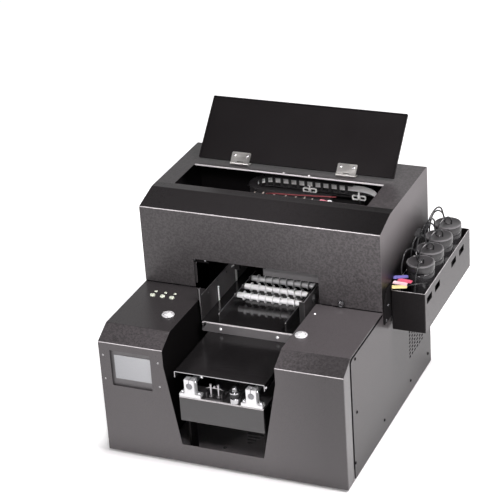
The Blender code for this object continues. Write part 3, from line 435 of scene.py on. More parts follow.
# look: (maker, its arguments after the name, its named arguments)
LOOKS = {
    # painted shade: the front coat darkens towards the right end
    "coat_front": (coat, BLACK, 0.30, 0.24, dict(pebble=0.45, spec=0.60, fade=('X', 440, 330, 0.48))),
    # painted light and shade: a lighter copy of the front coat for the deck's top faces, darkening towards
    # the left end
    "coat_deck": (coat, shade(BLACK, 1.34), 0.30, 0.24, dict(spec=0.60, fade=('X', 150, 340, 0.40))),
    # painted shade: the side panels' coat darkens towards the bottom
    "coat_side": (coat, (0.0420, 0.0375, 0.0390), 0.30, 0.12,
                  dict(spec=0.10, fade=('Z', FOOT + 20, FOOT + 215, 0.40))),
    "coat_box": (coat, (0.0200, 0.0168, 0.0178), 0.28, 0.12, dict(spec=0.16)),
    # painted shade: the hood coat darkens towards the left end
    "coat_hood": (coat, (0.0366, 0.0335, 0.0347), 0.36, 0.25, 0.55, True,
                  dict(spec=0.58, fade=('X', 250, 450, 0.588))),
    # painted light and shade: a lighter copy of the hood coat for the hood's outer sides, fading to near
    # black towards the bottom
    "coat_flank": (coat, (0.095, 0.0870, 0.0895), 0.38, 0.10,
                   dict(spec=0.12, fade=('Z', FOOT + 300, FOOT + 395, 0.04))),
    # painted highlight: a light copy of the coat for the outsides of bends and the ink box's top edges
    "coat_bend": (coat, (0.40, 0.385, 0.39), 0.24, 0.25, dict(worn=1.2)),
    # painted shade: a darker copy of the hood coat for the chamfer, darker still towards the right end
    "coat_chamfer": (coat, (0.015, 0.0137, 0.0142), 0.30, 0.10,
                     dict(spec=0.38, fade=('X', 460, 260, 0.35))),
    # painted shade: a darker copy of the box coat for all the ink box's faces but its outer right side
    "coat_tank": (coat, (0.0075, 0.0068, 0.0071), 0.28, 0.12, dict(spec=0.16)),
    # a near-black coat: painted shade on inside faces, cut edges and slot walls, and the colour of some black
    # screws and parts
    "coat_inside": (coat, (0.0075, 0.0070, 0.0073), 0.5, 0.3, dict(worn=1.6, spec=0.03)),
    # painted shade: a near-black coat with almost no sheen for the channel walls
    "coat_well": (coat, (0.0030, 0.0028, 0.0029), 0.6, 0.3, dict(worn=1.6, spec=0.01)),
    "satin_lid": (satin, (0.0068, 0.0058, 0.0062), 0.42, 0.10, dict(spec=0.18)),
    "gloss_black": (satin, (0.009, 0.0085, 0.0088), 0.12, 0.05, dict(spec=1.0)),
    "gloss_plate": (satin, (0.008, 0.0075, 0.0078), 0.20, 0.05, dict(spec=1.0)),
    "grey_steel": (satin, (0.035, 0.0335, 0.0345), 0.40, 0.12, dict(worn=2.4)),
    "screw_white": (satin, (0.80, 0.80, 0.81), 0.30, 0.02, 1.1, dict(Metallic=0.2)),
    # bright metal for the tensioner posts and small tabs; on edges and top faces of dark parts it is a
    # painted highlight
    "edge_bright": (metal, (0.46, 0.45, 0.46), 0.38, (1, 1, 1), 300.0, 0.2),
    "button_chrome": (satin, (0.74, 0.74, 0.75), 0.34, 0.0, 1.1, dict(spec=1.0, Metallic=0.45)),
    "roller_metal": (satin, (0.90, 0.90, 0.91), 0.26, 0.04, 1.05, dict(Metallic=0.10)),
    "rod_end": (metal, (0.22, 0.22, 0.23), 0.4, (1, 1, 1), 300.0, 0.2),
    "pan_grey": (coat, (0.14, 0.132, 0.135), 0.40, 0.2, dict(spec=0.5, fade=('Y', 484, 478, 0.16))),
    "beam_black": (coat, (0.022, 0.021, 0.0215), 0.4, 0.2, dict(spec=0.4)),
    # painted shade: the wall satin darkens towards the front
    "wall_satin": (satin, (0.125, 0.119, 0.122), 0.32, 0.25, 2.0,
                   dict(spec=0.25, fade=('Y', 205, 265, 0.14))),
    "chrome": (metal, (0.88, 0.88, 0.90), 0.16, (1, 1, 1), 420.0, 0.10, 0.9),
    "chrome_turned": (metal, (0.92, 0.92, 0.94), 0.30, (1, 9, 9), 300.0, 0.15),
    "nickel": (metal, (0.84, 0.82, 0.79), 0.36, (9, 1, 1), 260.0, 0.15),
    "zinc": (metal, (0.62, 0.62, 0.64), 0.24, (1, 1, 1), 500.0, 0.3),
    "dark_screw": (metal, (0.10, 0.10, 0.105), 0.34, (1, 1, 1), 500.0, 0.3),
    "alu": (metal, (0.86, 0.87, 0.89), 0.34, (1, 14, 14), 190.0, 0.3),
    "alu_white": (satin, (0.60, 0.60, 0.61), 0.38, 0.1, dict(worn=1.1, Metallic=0.25)),
    "rubber": (plastic, (0.018, 0.018, 0.019), 0.78, 0.6),
    "plastic_black": (plastic, (0.016, 0.016, 0.017), 0.45),
    "chain_black": (plastic, (0.032, 0.031, 0.032), 0.36),
    "plastic_dark": (plastic, (0.045, 0.043, 0.045), 0.38),
    "plastic_grey": (plastic, (0.088, 0.0845, 0.087), 0.42),
    "plastic_pale": (plastic, (0.56, 0.60, 0.50), 0.4),
    "plastic_white": (plastic, (0.93, 0.92, 0.91), 0.45, 0.1),
    "plastic_red": (plastic, (0.35, 0.012, 0.012), 0.3, 0.15),
    "bezel_grey": (plastic, (0.085, 0.080, 0.083), 0.5),
    "tank_smoke": (plastic, (0.035, 0.034, 0.036), 0.16, 0.05,
                   dict(Transmission_Weight=0.35, IOR=1.45)),
    "cap_smoke": (plastic, (0.024, 0.023, 0.024), 0.22, 0.08),
    # painted sheen: a lighter copy of the cap plastic for the caps' flat tops
    "cap_top": (plastic, (0.036, 0.0345, 0.036), 0.34, 0.2),
    # painted highlight: a light ring on the caps' rounded rims
    "cap_rim": (plastic, (0.11, 0.107, 0.11), 0.30, 0.1),
    "tube_black": (plastic, (0.012, 0.012, 0.013), 0.26, 0.1),
    "tag_rose": (plastic, (0.50, 0.17, 0.21), 0.4, 0.1),
    "tag_blue": (plastic, (0.12, 0.11, 0.32), 0.4, 0.1),
    "tag_red": (plastic, (0.56, 0.09, 0.15), 0.4, 0.1),
    "tag_pink": (plastic, (0.66, 0.46, 0.49), 0.4, 0.1),
    "tag_yellow": (plastic, (0.62, 0.52, 0.24), 0.4, 0.1),
    "tube_red": (plastic, (0.17, 0.035, 0.04), 0.3, 0.1),
    "dark_alu": (metal, (0.42, 0.42, 0.43), 0.24, (1, 1, 9), 300.0, 0.2),
    "bar_grey": (satin, (0.125, 0.120, 0.123), 0.34, 0.10, dict(worn=2.0)),
    "tie_grey": (plastic, (0.42, 0.37, 0.33), 0.4, 0.1),
    # painted highlight: a light coat for the bar along the hatch's back edge
    "rim_bright": (coat, (0.50, 0.485, 0.49), 0.26, 0.2, dict(worn=1.2)),
    "rail_black": (satin, (0.014, 0.0135, 0.014), 0.24, 0.12, dict(worn=9.0)),
    "screen_panel": (screen_look,),
    "circuit_green": (board_look,),
}
made_looks = {}


def look(name):
    """The material of that name, made once."""
    if name not in made_looks:
        maker, *values = LOOKS[name]
        extras = values.pop() if values and isinstance(values[-1], dict) else {}
        made_looks[name] = maker(name, *values, **extras)
    return made_looks[name]


# ---------------------------------------------------------------- mesh helpers

def from_bmesh(bm):
    bmesh.ops.recalc_face_normals(bm, faces=bm.faces[:])
    mesh = bpy.data.meshes.new("shape")
    bm.to_mesh(mesh)
    bm.free()
    obj = bpy.data.objects.new("shape", mesh)
    collection.objects.link(obj)
    return obj


def box(xs, ys, zs):
    """A block between two planes on each axis."""
    bm = bmesh.new()
    bmesh.ops.create_cube(bm, size=1.0)
    size = Vector((xs[1] - xs[0], ys[1] - ys[0], zs[1] - zs[0])) * MM
    bmesh.ops.scale(bm, vec=size, verts=bm.verts[:])
    bmesh.ops.translate(bm, vec=at(sum(xs) / 2, sum(ys) / 2, sum(zs) / 2), verts=bm.verts[:])
    return from_bmesh(bm)


def prism(outline, axis, lo, hi):
    """A flat outline pushed along X, Y or Z."""
    bm = bmesh.new()
    rings = [[bm.verts.new(across(axis, a, b, c)) for a, b in outline] for c in (lo, hi)]
    bm.faces.new(rings[0])
    bm.faces.new(list(reversed(rings[1])))
    for i in range(len(outline)):
        bm.faces.new((rings[0][i - 1], rings[0][i], rings[1][i], rings[1][i - 1]))
    return from_bmesh(bm)


def plate(outline, holes, axis, lo, hi):
    """A flat sheet with many holes, filled without a boolean."""
    bm = bmesh.new()
    for loop in [outline] + holes:
        ring = [bm.verts.new(across(axis, a, b, lo)) for a, b in loop]
        for i in range(len(ring)):
            bm.edges.new((ring[i - 1], ring[i]))
    bmesh.ops.triangle_fill(bm, use_beauty=True, use_dissolve=False, edges=bm.edges[:])
    made = bmesh.ops.extrude_face_region(bm, geom=bm.faces[:])
    moved = [g for g in made['geom'] if isinstance(g, bmesh.types.BMVert)]
    bmesh.ops.translate(bm, vec=across(axis, 0, 0, hi) - across(axis, 0, 0, lo), verts=moved)
    return from_bmesh(bm)


TURN = {'Z': Matrix.Identity(3), 'X': Matrix.Rotation(math.pi / 2, 3, 'Y'),
        'Y': Matrix.Rotation(-math.pi / 2, 3, 'X')}


def lathe(axis, centre, outline, steps=48, base=0.0):
    """An outline of (radius, distance from base along the axis), spun about the axis."""
    bm = bmesh.new()
    rings = []
    turns = [2 * math.pi * k / steps for k in range(steps)]
    for r, h in outline:
        z = (base + h) * MM
        if r < 1e-6:
            rings.append([bm.verts.new((0, 0, z))])
        else:
            rings.append([bm.verts.new((r * MM * math.cos(t), r * MM * math.sin(t), z)) for t in turns])
    closed = outline[0][0] > 1e-6
    for i in range(0 if closed else 1, len(rings)):
        low, high = rings[i - 1], rings[i]
        for k in range(steps):
            corners = list(dict.fromkeys((low[k % len(low)], low[(k + 1) % len(low)],
                                          high[(k + 1) % len(high)], high[k % len(high)])))
            if len(corners) > 2:
                bm.faces.new(corners)
    bmesh.ops.rotate(bm, cent=(0, 0, 0), matrix=TURN[axis], verts=bm.verts[:])
    bmesh.ops.translate(bm, vec=across(axis, *centre, 0), verts=bm.verts[:])
    return from_bmesh(bm)


def rod(axis, centre, radius, lo, hi, steps=32, chamfer=0.0):
    """A round bar, with chamfered ends if asked."""
    rim = [(radius, lo + chamfer), (radius, hi - chamfer)] if chamfer else []
    outline = [(0, lo), (radius - chamfer, lo), *rim, (radius - chamfer, hi), (0, hi)]
    return lathe(axis, centre, outline, steps)


def rounded(path, radius, steps=4, closed=False):
    """Path with its corners turned into arcs."""
    out = []
    for i, p in enumerate(path):
        if not closed and i in (0, len(path) - 1):
            out.append(tuple(p))
            continue
        a, b, c = Vector(path[i - 1]), Vector(p), Vector(path[(i + 1) % len(path)])
        u, v = (a - b).normalized(), (c - b).normalized()
        half = u.angle(v) / 2
        back = min(radius / math.tan(half), 0.45 * (a - b).length, 0.45 * (c - b).length)
        r = back * math.tan(half)
        centre = b + (u + v).normalized() * (r / math.sin(half))
        start, end = b + u * back - centre, b + v * back - centre
        a0 = math.atan2(start.y, start.x)
        sweep = (math.atan2(end.y, end.x) - a0 + math.pi) % (2 * math.pi) - math.pi
        for k in range(steps + 1):
            t = a0 + sweep * k / steps
            out.append((centre.x + r * math.cos(t), centre.y + r * math.sin(t)))
    return out


def rectangle(x0, x1, y0, y1, radius, steps=4):
    """A closed outline with round corners."""
    return rounded([(x0, y0), (x1, y0), (x1, y1), (x0, y1)], radius, steps, True)


def thick(path, t):
    """Closed outline of a sheet of thickness t that follows a path."""
    def shifted(i):
        ends = []
        for a, b in ((i - 1, i), (i, i + 1)):
            if a < 0 or b >= len(path):
                continue
            dy, dz = path[b][0] - path[a][0], path[b][1] - path[a][1]
            run = math.hypot(dy, dz)
            ends.append((dz / run, -dy / run))
        if len(ends) == 1:
            (ny, nz), scale = ends[0], 1.0
        else:
            ny, nz = ends[0][0] + ends[1][0], ends[0][1] + ends[1][1]
            scale = 2.0 / (ny * ny + nz * nz)
        return (path[i][0] + ny * t * scale, path[i][1] + nz * t * scale)
    return list(path) + [shifted(i) for i in range(len(path) - 1, -1, -1)]


def folded(path, radius, steps, t, axis, lo, hi):
    """A sheet of thickness t bent along a path, with round bends."""
    return prism(thick(rounded(path, radius, steps), t), axis, lo, hi)


def merged(objs):
    """One object from several; shells stay apart, materials stay on their faces."""
    first = objs[0]
    if len(objs) > 1:
        with bpy.context.temp_override(active_object=first, selected_editable_objects=objs,
                                       selected_objects=objs, object=first):
            bpy.ops.object.join()
    return first


def applied(obj):
    """Turn the modifiers into plain mesh."""
    bpy.context.view_layer.update()
    graph = bpy.context.evaluated_depsgraph_get()
    mesh = bpy.data.meshes.new_from_object(obj.evaluated_get(graph))
    obj.modifiers.clear()
    obj.data = mesh
    return obj


def boolean(obj, others, operation):
    """Combine shapes exactly; the others are used up."""
    for other in others:
        mod = obj.modifiers.new("op", 'BOOLEAN')
        mod.operation = operation
        mod.solver = 'EXACT'
        mod.material_mode = 'TRANSFER'
        mod.object = other
    applied(obj)
    for other in others:
        bpy.data.objects.remove(other)
    return obj


def cut(obj, *others):
    """Take the others away; they must not overlap each other."""
    return boolean(obj, [merged(list(others))], 'DIFFERENCE') if others else obj


def join(obj, *others):
    return boolean(obj, list(others), 'UNION')


def tidy_mesh(obj):
    """Weld doubled points and drop needle edges."""
    bm = bmesh.new()
    bm.from_mesh(obj.data)
    bmesh.ops.remove_doubles(bm, verts=bm.verts[:], dist=2e-6)
    bmesh.ops.dissolve_degenerate(bm, dist=1e-6, edges=bm.edges[:])
    bm.to_mesh(obj.data)
    bm.free()
    return obj


def coated(obj, name):
    """Give the whole shape one look."""
    obj.data.materials.clear()
    obj.data.materials.append(look(name))
    return obj


def touch(obj, rule, finish="coat_inside"):
    """Give a second look to the faces picked by rule(centre in printer mm, normal); by default the near-black
    coat, as painted shade.
    """
    index = len(obj.data.materials)
    obj.data.materials.append(look(finish))
    for face in obj.data.polygons:
        c = face.center
        spot = ((c.x - cad_low[0]) / MM, (c.y - cad_low[1]) / MM, c.z / MM)
        if rule(spot, face.normal):
            face.material_index = index
    return obj


def paint_bend_highlight(obj, low, high, y):
    """The outside of a fold near depth y, where a light coat is painted on as a highlight."""
    return touch(obj, lambda c, n: n.y < -0.3 and low < n.z < high and abs(c[1] - y) < 2.6, "coat_bend")


def crease(obj, y):
    """Split the mesh's flat faces along a line across the printer at depth y."""
    bm = bmesh.new()
    bm.from_mesh(obj.data)
    bmesh.ops.bisect_plane(bm, geom=bm.verts[:] + bm.edges[:] + bm.faces[:], plane_co=at(0, y, 0),
                           plane_no=(0, 1, 0), dist=1e-6)
    bm.to_mesh(obj.data)
    bm.free()
    return obj


def smooth(obj):
    """Smooth shading that breaks at sharp edges."""
    obj.data.polygons.foreach_set('use_smooth', [True] * len(obj.data.polygons))
    obj.data.set_sharp_from_angle(angle=math.radians(35))
    return obj


def placed(obj, x, y, z, turn):
    """Turn a shape drawn about the printer's origin and set it down somewhere else."""
    obj.data.transform(Matrix.Translation(-at(0, 0, 0)))
    obj.data.transform(Matrix.Translation(at(x, y, z)) @ turn)
    return obj


def about(axis, degrees):
    """A turn about X, Y or Z."""
    return Matrix.Rotation(math.radians(degrees), 4, axis)


BODY_OF = {node: body for body, nodes in frame["record"]["behaviour"]["bodies"].items() for node in nodes}
SHARP = math.radians(38)  # edges above this get the bevel


def soften(obj, width, segments):
    """Round the edges that are sharper than a set angle."""
    mod = obj.modifiers.new("edge", 'BEVEL')
    mod.width = width * MM
    mod.segments = segments
    mod.limit_method = 'ANGLE'
    mod.angle_limit = SHARP


def piece(obj, name, finish=None, node=None, bevel=0.0, segments=2, body="chassis"):
    """Name and finish a shape. One that stands for a CAD node takes the node's body and hides the node."""
    obj.name = name
    obj.data.name = name
    if finish:
        coated(obj, finish)
    tidy_mesh(obj)
    if bevel:
        soften(obj, bevel, segments)
        applied(obj)
    smooth(obj)
    if bevel:
        mod = obj.modifiers.new("shade", 'WEIGHTED_NORMAL')
        mod.keep_sharp = True
        mod.weight = 50
        applied(obj)
    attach(obj, BODY_OF[node] if node else body)
    if node:
        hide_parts(node)
    return obj


def recoat(node, finish, bevel, segments=2):
    """Keep a CAD node, with a better material and softened edges."""
    soften(coated(frame["nodes"][node], finish), bevel, segments)


templates = {}


def screw_mesh(kind, r):
    """A screw head that points up, with its drive cut in, made once for each kind and radius."""
    key = (kind, r)
    if key in templates:
        return templates[key]
    if kind == "pan":
        outline = [(0, -0.4), (r, -0.4), (r, 0.12 * r), (0.9 * r, 0.36 * r), (0.66 * r, 0.55 * r),
                   (0.35 * r, 0.64 * r), (0, 0.66 * r)]
        head = lathe('Z', (0, 0), outline, 28)
        a, w = 0.52 * r, 0.13 * r
        cross = join(box((-a, a), (-w, w), (0.25 * r, r)), box((-w, w), (-a, a), (0.25 * r, r)))
        cut(head, cross)
    else:
        outline = [(0, -0.4), (r, -0.4), (r, 0.95 * r), (0.9 * r, 1.1 * r), (0, 1.1 * r)]
        head = lathe('Z', (0, 0), outline, 28)
        hexagon = [(0.52 * r * math.cos(k * math.pi / 3), 0.52 * r * math.sin(k * math.pi / 3))
                   for k in range(6)]
        cut(head, prism(hexagon, 'Z', 0.45 * r, 1.5 * r))
    head.data.transform(Matrix.Translation(-at(0, 0, 0)))
    templates[key] = head.data
    collection.objects.unlink(head)
    return head.data


def screw(place, toward, radius=2.6, kind="pan", twist=0.4):
    """A screw head at a place, facing a direction."""
    obj = bpy.data.objects.new("screw", screw_mesh(kind, radius).copy())
    collection.objects.link(obj)
    aim = Vector(toward).to_track_quat('Z', 'Y').to_matrix().to_4x4()
    obj.data.transform(Matrix.Translation(at(*place)) @ aim @ Matrix.Rotation(twist, 4, 'Z'))
    return obj


def screws(name, finish, places, body="chassis", kind="pan"):
    """One piece of several screws, each (place, direction, radius)."""
    heads = [screw(*spot, kind, 0.4 + 0.7 * i) for i, spot in enumerate(places)]
    return piece(merged(heads), name, finish, body=body)


def tube(points, radius, start=(0, 0, 0)):
    """A round tube through points measured from a start, as a closed mesh."""
    curve = bpy.data.curves.new("tube", 'CURVE')
    curve.dimensions = '3D'
    curve.bevel_depth = radius * MM
    curve.bevel_resolution = 3
    curve.use_fill_caps = True
    curve.resolution_u = 8
    spline = curve.splines.new('BEZIER')
    spline.bezier_points.add(len(points) - 1)
    for knot, place in zip(spline.bezier_points, points):
        knot.co = at(*(a + b for a, b in zip(start, place)))
        knot.handle_left_type = 'AUTO'
        knot.handle_right_type = 'AUTO'
    holder = bpy.data.objects.new("tube", curve)
    collection.objects.link(holder)
    bpy.context.view_layer.update()
    graph = bpy.context.evaluated_depsgraph_get()
    mesh = bpy.data.meshes.new_from_object(holder.evaluated_get(graph))
    bpy.data.objects.remove(holder)
    obj = bpy.data.objects.new("tube", mesh)
    collection.objects.link(obj)
    return obj


# ---------------------------------------------------------------- housing

def make_front_cover():
    """The face, bevel and deck in one folded sheet, with its side flanges, openings and channel walls."""
    path = [(0, FOOT), (0, FACE_TOP), (BEVEL_Y, BASE_TOP), (HOOD_Y - 0.3, BASE_TOP)]
    cover = folded(path, 2.4, 5, SHEET, 'X', 0, WIDTH)
    flank = [(2.7, FOOT), (2.7, FACE_TOP - 0.2), (32.4, FACE_TOP + 32.4 * 20 / BEVEL_Y - 1.0), (32.4, FOOT)]
    flank = rounded(flank, 0.5, 1, True)
    join(cover, prism(flank, 'X', 0, SHEET), prism(flank, 'X', WIDTH - SHEET, WIDTH))
    for x in (SHEET, WIDTH - SHEET - 4):
        join(cover, box((x, x + 4), (1, 12), (FOOT + 3, FACE_TOP - 8)))
    mouth = [(155, FOOT + 38), (CHANNEL[0], FOOT + 199), (CHANNEL[0], BASE_TOP + 9),
             (CHANNEL[1], BASE_TOP + 9), (CHANNEL[1], FOOT + 199), (318.5, FOOT + 38)]
    cut(cover, prism(mouth, 'Y', -5, 20))
    cut(cover, box(CHANNEL, (2, HOOD_Y + 5), (FOOT + 210, BASE_TOP + 9)))
    holes = [prism(rectangle(22.5, 104, FOOT + 143, FOOT + 217, 1.5), 'Y', -5, 5)]
    for x, y in BUTTONS.values():
        holes.append(rod('Z', (x, y), 9.4, BASE_TOP - 9, BASE_TOP + 9))
    for x in KEYS.values():
        holes.append(rod('Z', (x, KEY_Y), 5.4, BASE_TOP - 9, BASE_TOP + 9))
        holes.append(rod('Z', (x, LAMP_Y), 3.4, BASE_TOP - 9, BASE_TOP + 9))
    cut(cover, *holes)
    coated(cover, "coat_front")
    # faces that point down, back and inward, and the front plate's side cut edges, take the black coat as
    # painted shade
    touch(cover, lambda c, n: n.z < -0.5 or n.y > 0.5 or (
        abs(n.x) > 0.9 and (2 < c[0] < WIDTH - 2 or c[1] < 2.5)))
    # the deck's top faces take the lighter copy of the coat as painted light
    touch(cover, lambda c, n: n.z > 0.9 and c[1] > BEVEL_Y - 1, "coat_deck")
    paint_bend_highlight(cover, 0.3, 0.8, 1.0)
    piece(cover, "front_cover_shell", None, "front_cover", 0.25)
    for side, xs in (("left", (CHANNEL[0] - SHEET, CHANNEL[0] - 0.02)),
                     ("right", (CHANNEL[1] + 0.02, CHANNEL[1] + SHEET))):
        wall = [(1.7, FOOT + 40), (1.7, FACE_TOP - 2.2), (BEVEL_Y + 0.4, BASE_TOP - 1.8),
                (HOOD_Y - 0.3, BASE_TOP - 1.8), (HOOD_Y - 0.3, FOOT + 40)]
        panel = prism(wall, 'X', *xs)
        lip = box((xs[0] - 8, xs[0] + 0.5) if side == "left" else (xs[1] - 0.5, xs[1] + 8),
                  (4, HOOD_Y - 4), (FOOT + 40, FOOT + 41.5))
        join(panel, lip)
        # the channel walls take the near-black coat as painted shade
        piece(panel, "channel_wall_" + side, "coat_well", "front_cover", 0.25)
    places = [((x, 1.9, FOOT + z), FRONT, 3.2) for x in (8.3, 119.5) for z in (205, 155)]
    places.append(((361.8, 175, BASE_TOP), UP, 2.2))
    screws("cover_screws", "screw_white", places)


def make_side_panels():
    """The side sheets; the right one has the field of vent slots."""
    top, seam = BASE_TOP - SHEET - 5.2, BASE_TOP + 0.9
    outline = rounded([(39.6, FOOT), (39.6, top - 4), (47, top), (HOOD_Y - 0.4, top),
                       (HOOD_Y + 0.4, seam), (DEPTH, seam), (DEPTH, FOOT)], 1.2, 2, True)
    vents = []
    for row in range(VENT_ROWS):
        for column in range(VENT_COLUMNS):
            y, z = 361 + column * VENT_STEP[0], FOOT + 78.8 + row * VENT_STEP[1]
            vents.append(rectangle(y - 4.4, y + 4.4, z - 2.1, z + 2.1, 2.0, 3))
    spots = ((61, 239), (42.5, 33), (203, 28.6), (360, 26), (470, 26), (470, 239), (60, 130))
    for side, x0, outward, slots, flange, screw_x in (
            ("left", 0, LEFT, [], (SHEET - 0.2, SHEET + 8), 2.05),
            ("right", WIDTH - SHEET, RIGHT, vents, (WIDTH - SHEET - 8, WIDTH - SHEET + 0.2), WIDTH - 0.3)):
        panel = plate(outline, slots, 'X', x0, x0 + SHEET)
        panel = merged([panel, box(flange, (DEPTH - SHEET, DEPTH - 0.1), (FOOT + 2, top - 3))])
        # faces that don't face outward, the vent slots' walls among them, take the black coat as painted
        # shade
        touch(coated(panel, "coat_side"), lambda c, n: n.x * outward[0] < 0.5)
        piece(panel, "side_panel_%s_skin" % side, None, "side_panel_" + side, 0.3)
        places = [((screw_x, y, FOOT + z), outward, 3.1) for y, z in spots]
        screws("side_screws_" + side, "coat_inside", places)


def make_hood():
    """The raised housing, with the gate, hatch, tube port and lock hole cut through."""
    low = BASE_TOP + 2.0
    path = [(HOOD_Y, low), (HOOD_Y, HOOD_FACE_TOP), (HOOD_BEVEL_Y, HOOD_TOP), (DEPTH, HOOD_TOP), (DEPTH, low)]
    hood = folded(path, 2.2, 5, SHEET, 'X', 0, WIDTH)
    side = rounded([(HOOD_Y + 0.3, low), (HOOD_Y + 0.3, HOOD_FACE_TOP - 0.3), (HOOD_BEVEL_Y, HOOD_TOP - 0.3),
                    (DEPTH - 0.3, HOOD_TOP - 0.3), (DEPTH - 0.3, low)], 2.0, 3)
    join(hood, prism(side, 'X', 0.02, SHEET), prism(side, 'X', WIDTH - SHEET, WIDTH - 0.02))
    cut(hood, box(GATE_X, (HOOD_Y - 5, HOOD_Y + 5), (low - 5, GATE_TOP)),
        prism(rectangle(*HATCH, 1.2, 3), 'Z', HOOD_TOP - 5, HOOD_TOP + 5),
        prism(rectangle(*TUBE_PORT, 7.5, 6), 'X', WIDTH - 5, WIDTH + 5),
        rod('Y', (LOCK_X, LOCK_Z), 6.3, HOOD_Y - 5, HOOD_Y + 5))
    bevel_end = HATCH[2] - 1.5
    crease(hood, bevel_end)
    coated(hood, "coat_hood")
    # undersides, inner faces and the openings' cut edges take the black coat as painted shade
    touch(hood, lambda c, n: n.z < -0.5 or (1 < c[0] < WIDTH - 1 and (
        abs(n.x) > 0.7 or (c[1] < 230 and n.y > 0.5) or (c[1] > DEPTH - 10 and n.y < -0.5))))
    # the chamfer faces take the darker copy of the hood coat as painted shade
    touch(hood, lambda c, n: n.z > 0.5 and c[2] > HOOD_FACE_TOP + 1.2 and c[1] < bevel_end, "coat_chamfer")
    # the hood's outer sides take the lighter copy, painted light that fades to painted shade at the bottom
    touch(hood, lambda c, n: abs(n.x) > 0.7 and not 1 < c[0] < WIDTH - 1, "coat_flank")
    paint_bend_highlight(hood, 0.3, 0.85, HOOD_Y + 1)
    piece(hood, "hood_shell", None, "hood", 0.3)


def make_hatch_rim():
    """A bar along the hatch's back edge, painted light as the edge's highlight, with two round catches."""
    y0, y1, z0, z1 = HATCH[3] - 1.4, HATCH[3] + 0.6, HOOD_TOP - 2.9, HOOD_TOP - 0.1
    rim = prism(rounded([(y0, z0), (y0, z1), (y1, z1), (y1, z0)], 0.6, 3, True), 'X', HATCH[0] + 0.5,
                HATCH[1] - 0.5)
    catch = [(0, -2), (2.4, -2), (2.4, 0.6), (1.5, 1.3), (0, 1.4)]
    join(rim, *[lathe('Z', (x, 391.5), catch, 20, HOOD_TOP) for x in (224, 276)])
    piece(rim, "hatch_rim", "rim_bright", bevel=0.15)


def make_gate_parts():
    """The bracket, strap and sensor behind the gate's top edge."""
    bracket = prism(rectangle(99.7, 105.3, FOOT + 257, FOOT + 305, 1.2, 3), 'Y', 222, 223.4)
    join(bracket, box((99.7, 101), (222, 227), (FOOT + 259, FOOT + 303)))
    piece(bracket, "gate_bracket", "wall_satin", bevel=0.2)
    strap = prism(rectangle(97, 131, FOOT + 302, FOOT + 311.5, 1.5, 3), 'Y', 221.2, 222.6)
    sensor = box((187.5, 197.5), (HOOD_Y + SHEET + 0.3, 221), (FOOT + 301, FOOT + 312))
    join(sensor, box((189.5, 195.5), (216, 219), (FOOT + 299.4, FOOT + 302)))
    piece(merged([strap, sensor]), "gate_strap", "coat_inside", bevel=0.3)
    screws("gate_screws", "zinc", [((x, 221.2, FOOT + 306.6), FRONT, 2.1) for x in (102.2, 124.6)])


def make_screen():
    bezel = box(SCREEN_FRAME[0], (4.6, 12), SCREEN_FRAME[1])
    x0, x1, z0, z1 = SCREEN
    cut(bezel, prism(rectangle(x0 - 0.4, x1 + 0.4, z0 - 0.4, z1 + 0.4, 0.8, 3), 'Y', 3, 5.2))
    piece(bezel, "screen_bezel", "bezel_grey", "touch_screen", 0.4)
    glass = prism(rectangle(*SCREEN, 0.7, 3), 'Y', 3.6, 5.3)
    piece(glass, "screen_panel", "screen_panel", "touch_screen", 0.15)


# ---------------------------------------------------------------- controls

def make_controls():
    """Push buttons with their rings, keys, and the row of lamp lenses."""
    ring = [(8.1, -20), (9.0, -20), (9.0, 0.3), (11.6, 0.3), (12, 0.7), (12, 1.5), (11.7, 2.1), (10.9, 2.9),
            (10.2, 3.2), (8.5, 3.2), (8.1, 2.8)]
    dome = [(0, -14), (7.8, -14), (7.8, 2.4), (7.5, 3.3), (6.8, 4.6), (5.6, 5.8), (4.0, 6.7), (2.0, 7.2),
            (0, 7.3)]
    for side, spot in BUTTONS.items():
        for name, outline, node in (("ring", ring, "button_bezel"), ("cap", dome, "push_button")):
            shape = lathe('Z', spot, outline, 64, BASE_TOP)
            piece(shape, "button_%s_%s" % (name, side), "button_chrome", "%s_%s" % (node, side))
    cap = [(0, -9), (4, -9), (4, -6), (7, -6), (7, -4.5), (5, -4.5), (5, 1.0), (4.7, 1.5), (4.1, 1.75),
           (0, 1.35)]
    lens = [(0, -11.2), (3, -11.2), (3, 0.3), (2.5, 0.9), (1.4, 1.3), (0, 1.4)]
    for name, x in KEYS.items():
        piece(lathe('Z', (x, KEY_Y), cap, 40, BASE_TOP), name + "_cap", "plastic_pale", name)
    lamps = [prism(rectangle(28, 88, 152, 184, 2), 'Z', BASE_TOP - 12.6, BASE_TOP - 11)]
    lamps += [lathe('Z', (x, LAMP_Y), lens, 32, BASE_TOP) for x in KEYS.values()]
    lamps += [rod('Z', (x, LAMP_Y + 3), 2, BASE_TOP - 11.2, BASE_TOP - SHEET - 0.3, 20) for x in (31, 85)]
    piece(join(*lamps), "lamp_lenses", "plastic_pale", "indicator_lamps")


def make_lock():
    x, z, y = LOCK_X, LOCK_Z, HOOD_Y
    ring = [(4.7, -2.4), (4.9, -3.5), (5.7, -4.0), (6.5, -3.5), (6.8, -2.6), (6.8, -0.3), (4.7, -0.3)]
    piece(lathe('Y', (x, z), ring, 48, y), "lock_ring", "dark_screw", "hood_lock")
    barrel = [(0, -3.0), (4.0, -3.0), (4.6, -2.6), (4.6, -0.2), (6, -0.2), (6, 12), (0, 12)]
    lock = lathe('Y', (x, z), barrel, 48, y)
    cut(lock, box((x - 0.6, x + 0.6), (y - 5, y - 0.5), (z - 2.6, z + 2.6)))
    join(lock, prism(rectangle(x - 5, x + 5, z - 4, z + 20, 3), 'Y', y + 10, y + 11.9))
    piece(lock, "lock_barrel", "dark_alu", "hood_lock", 0.2)


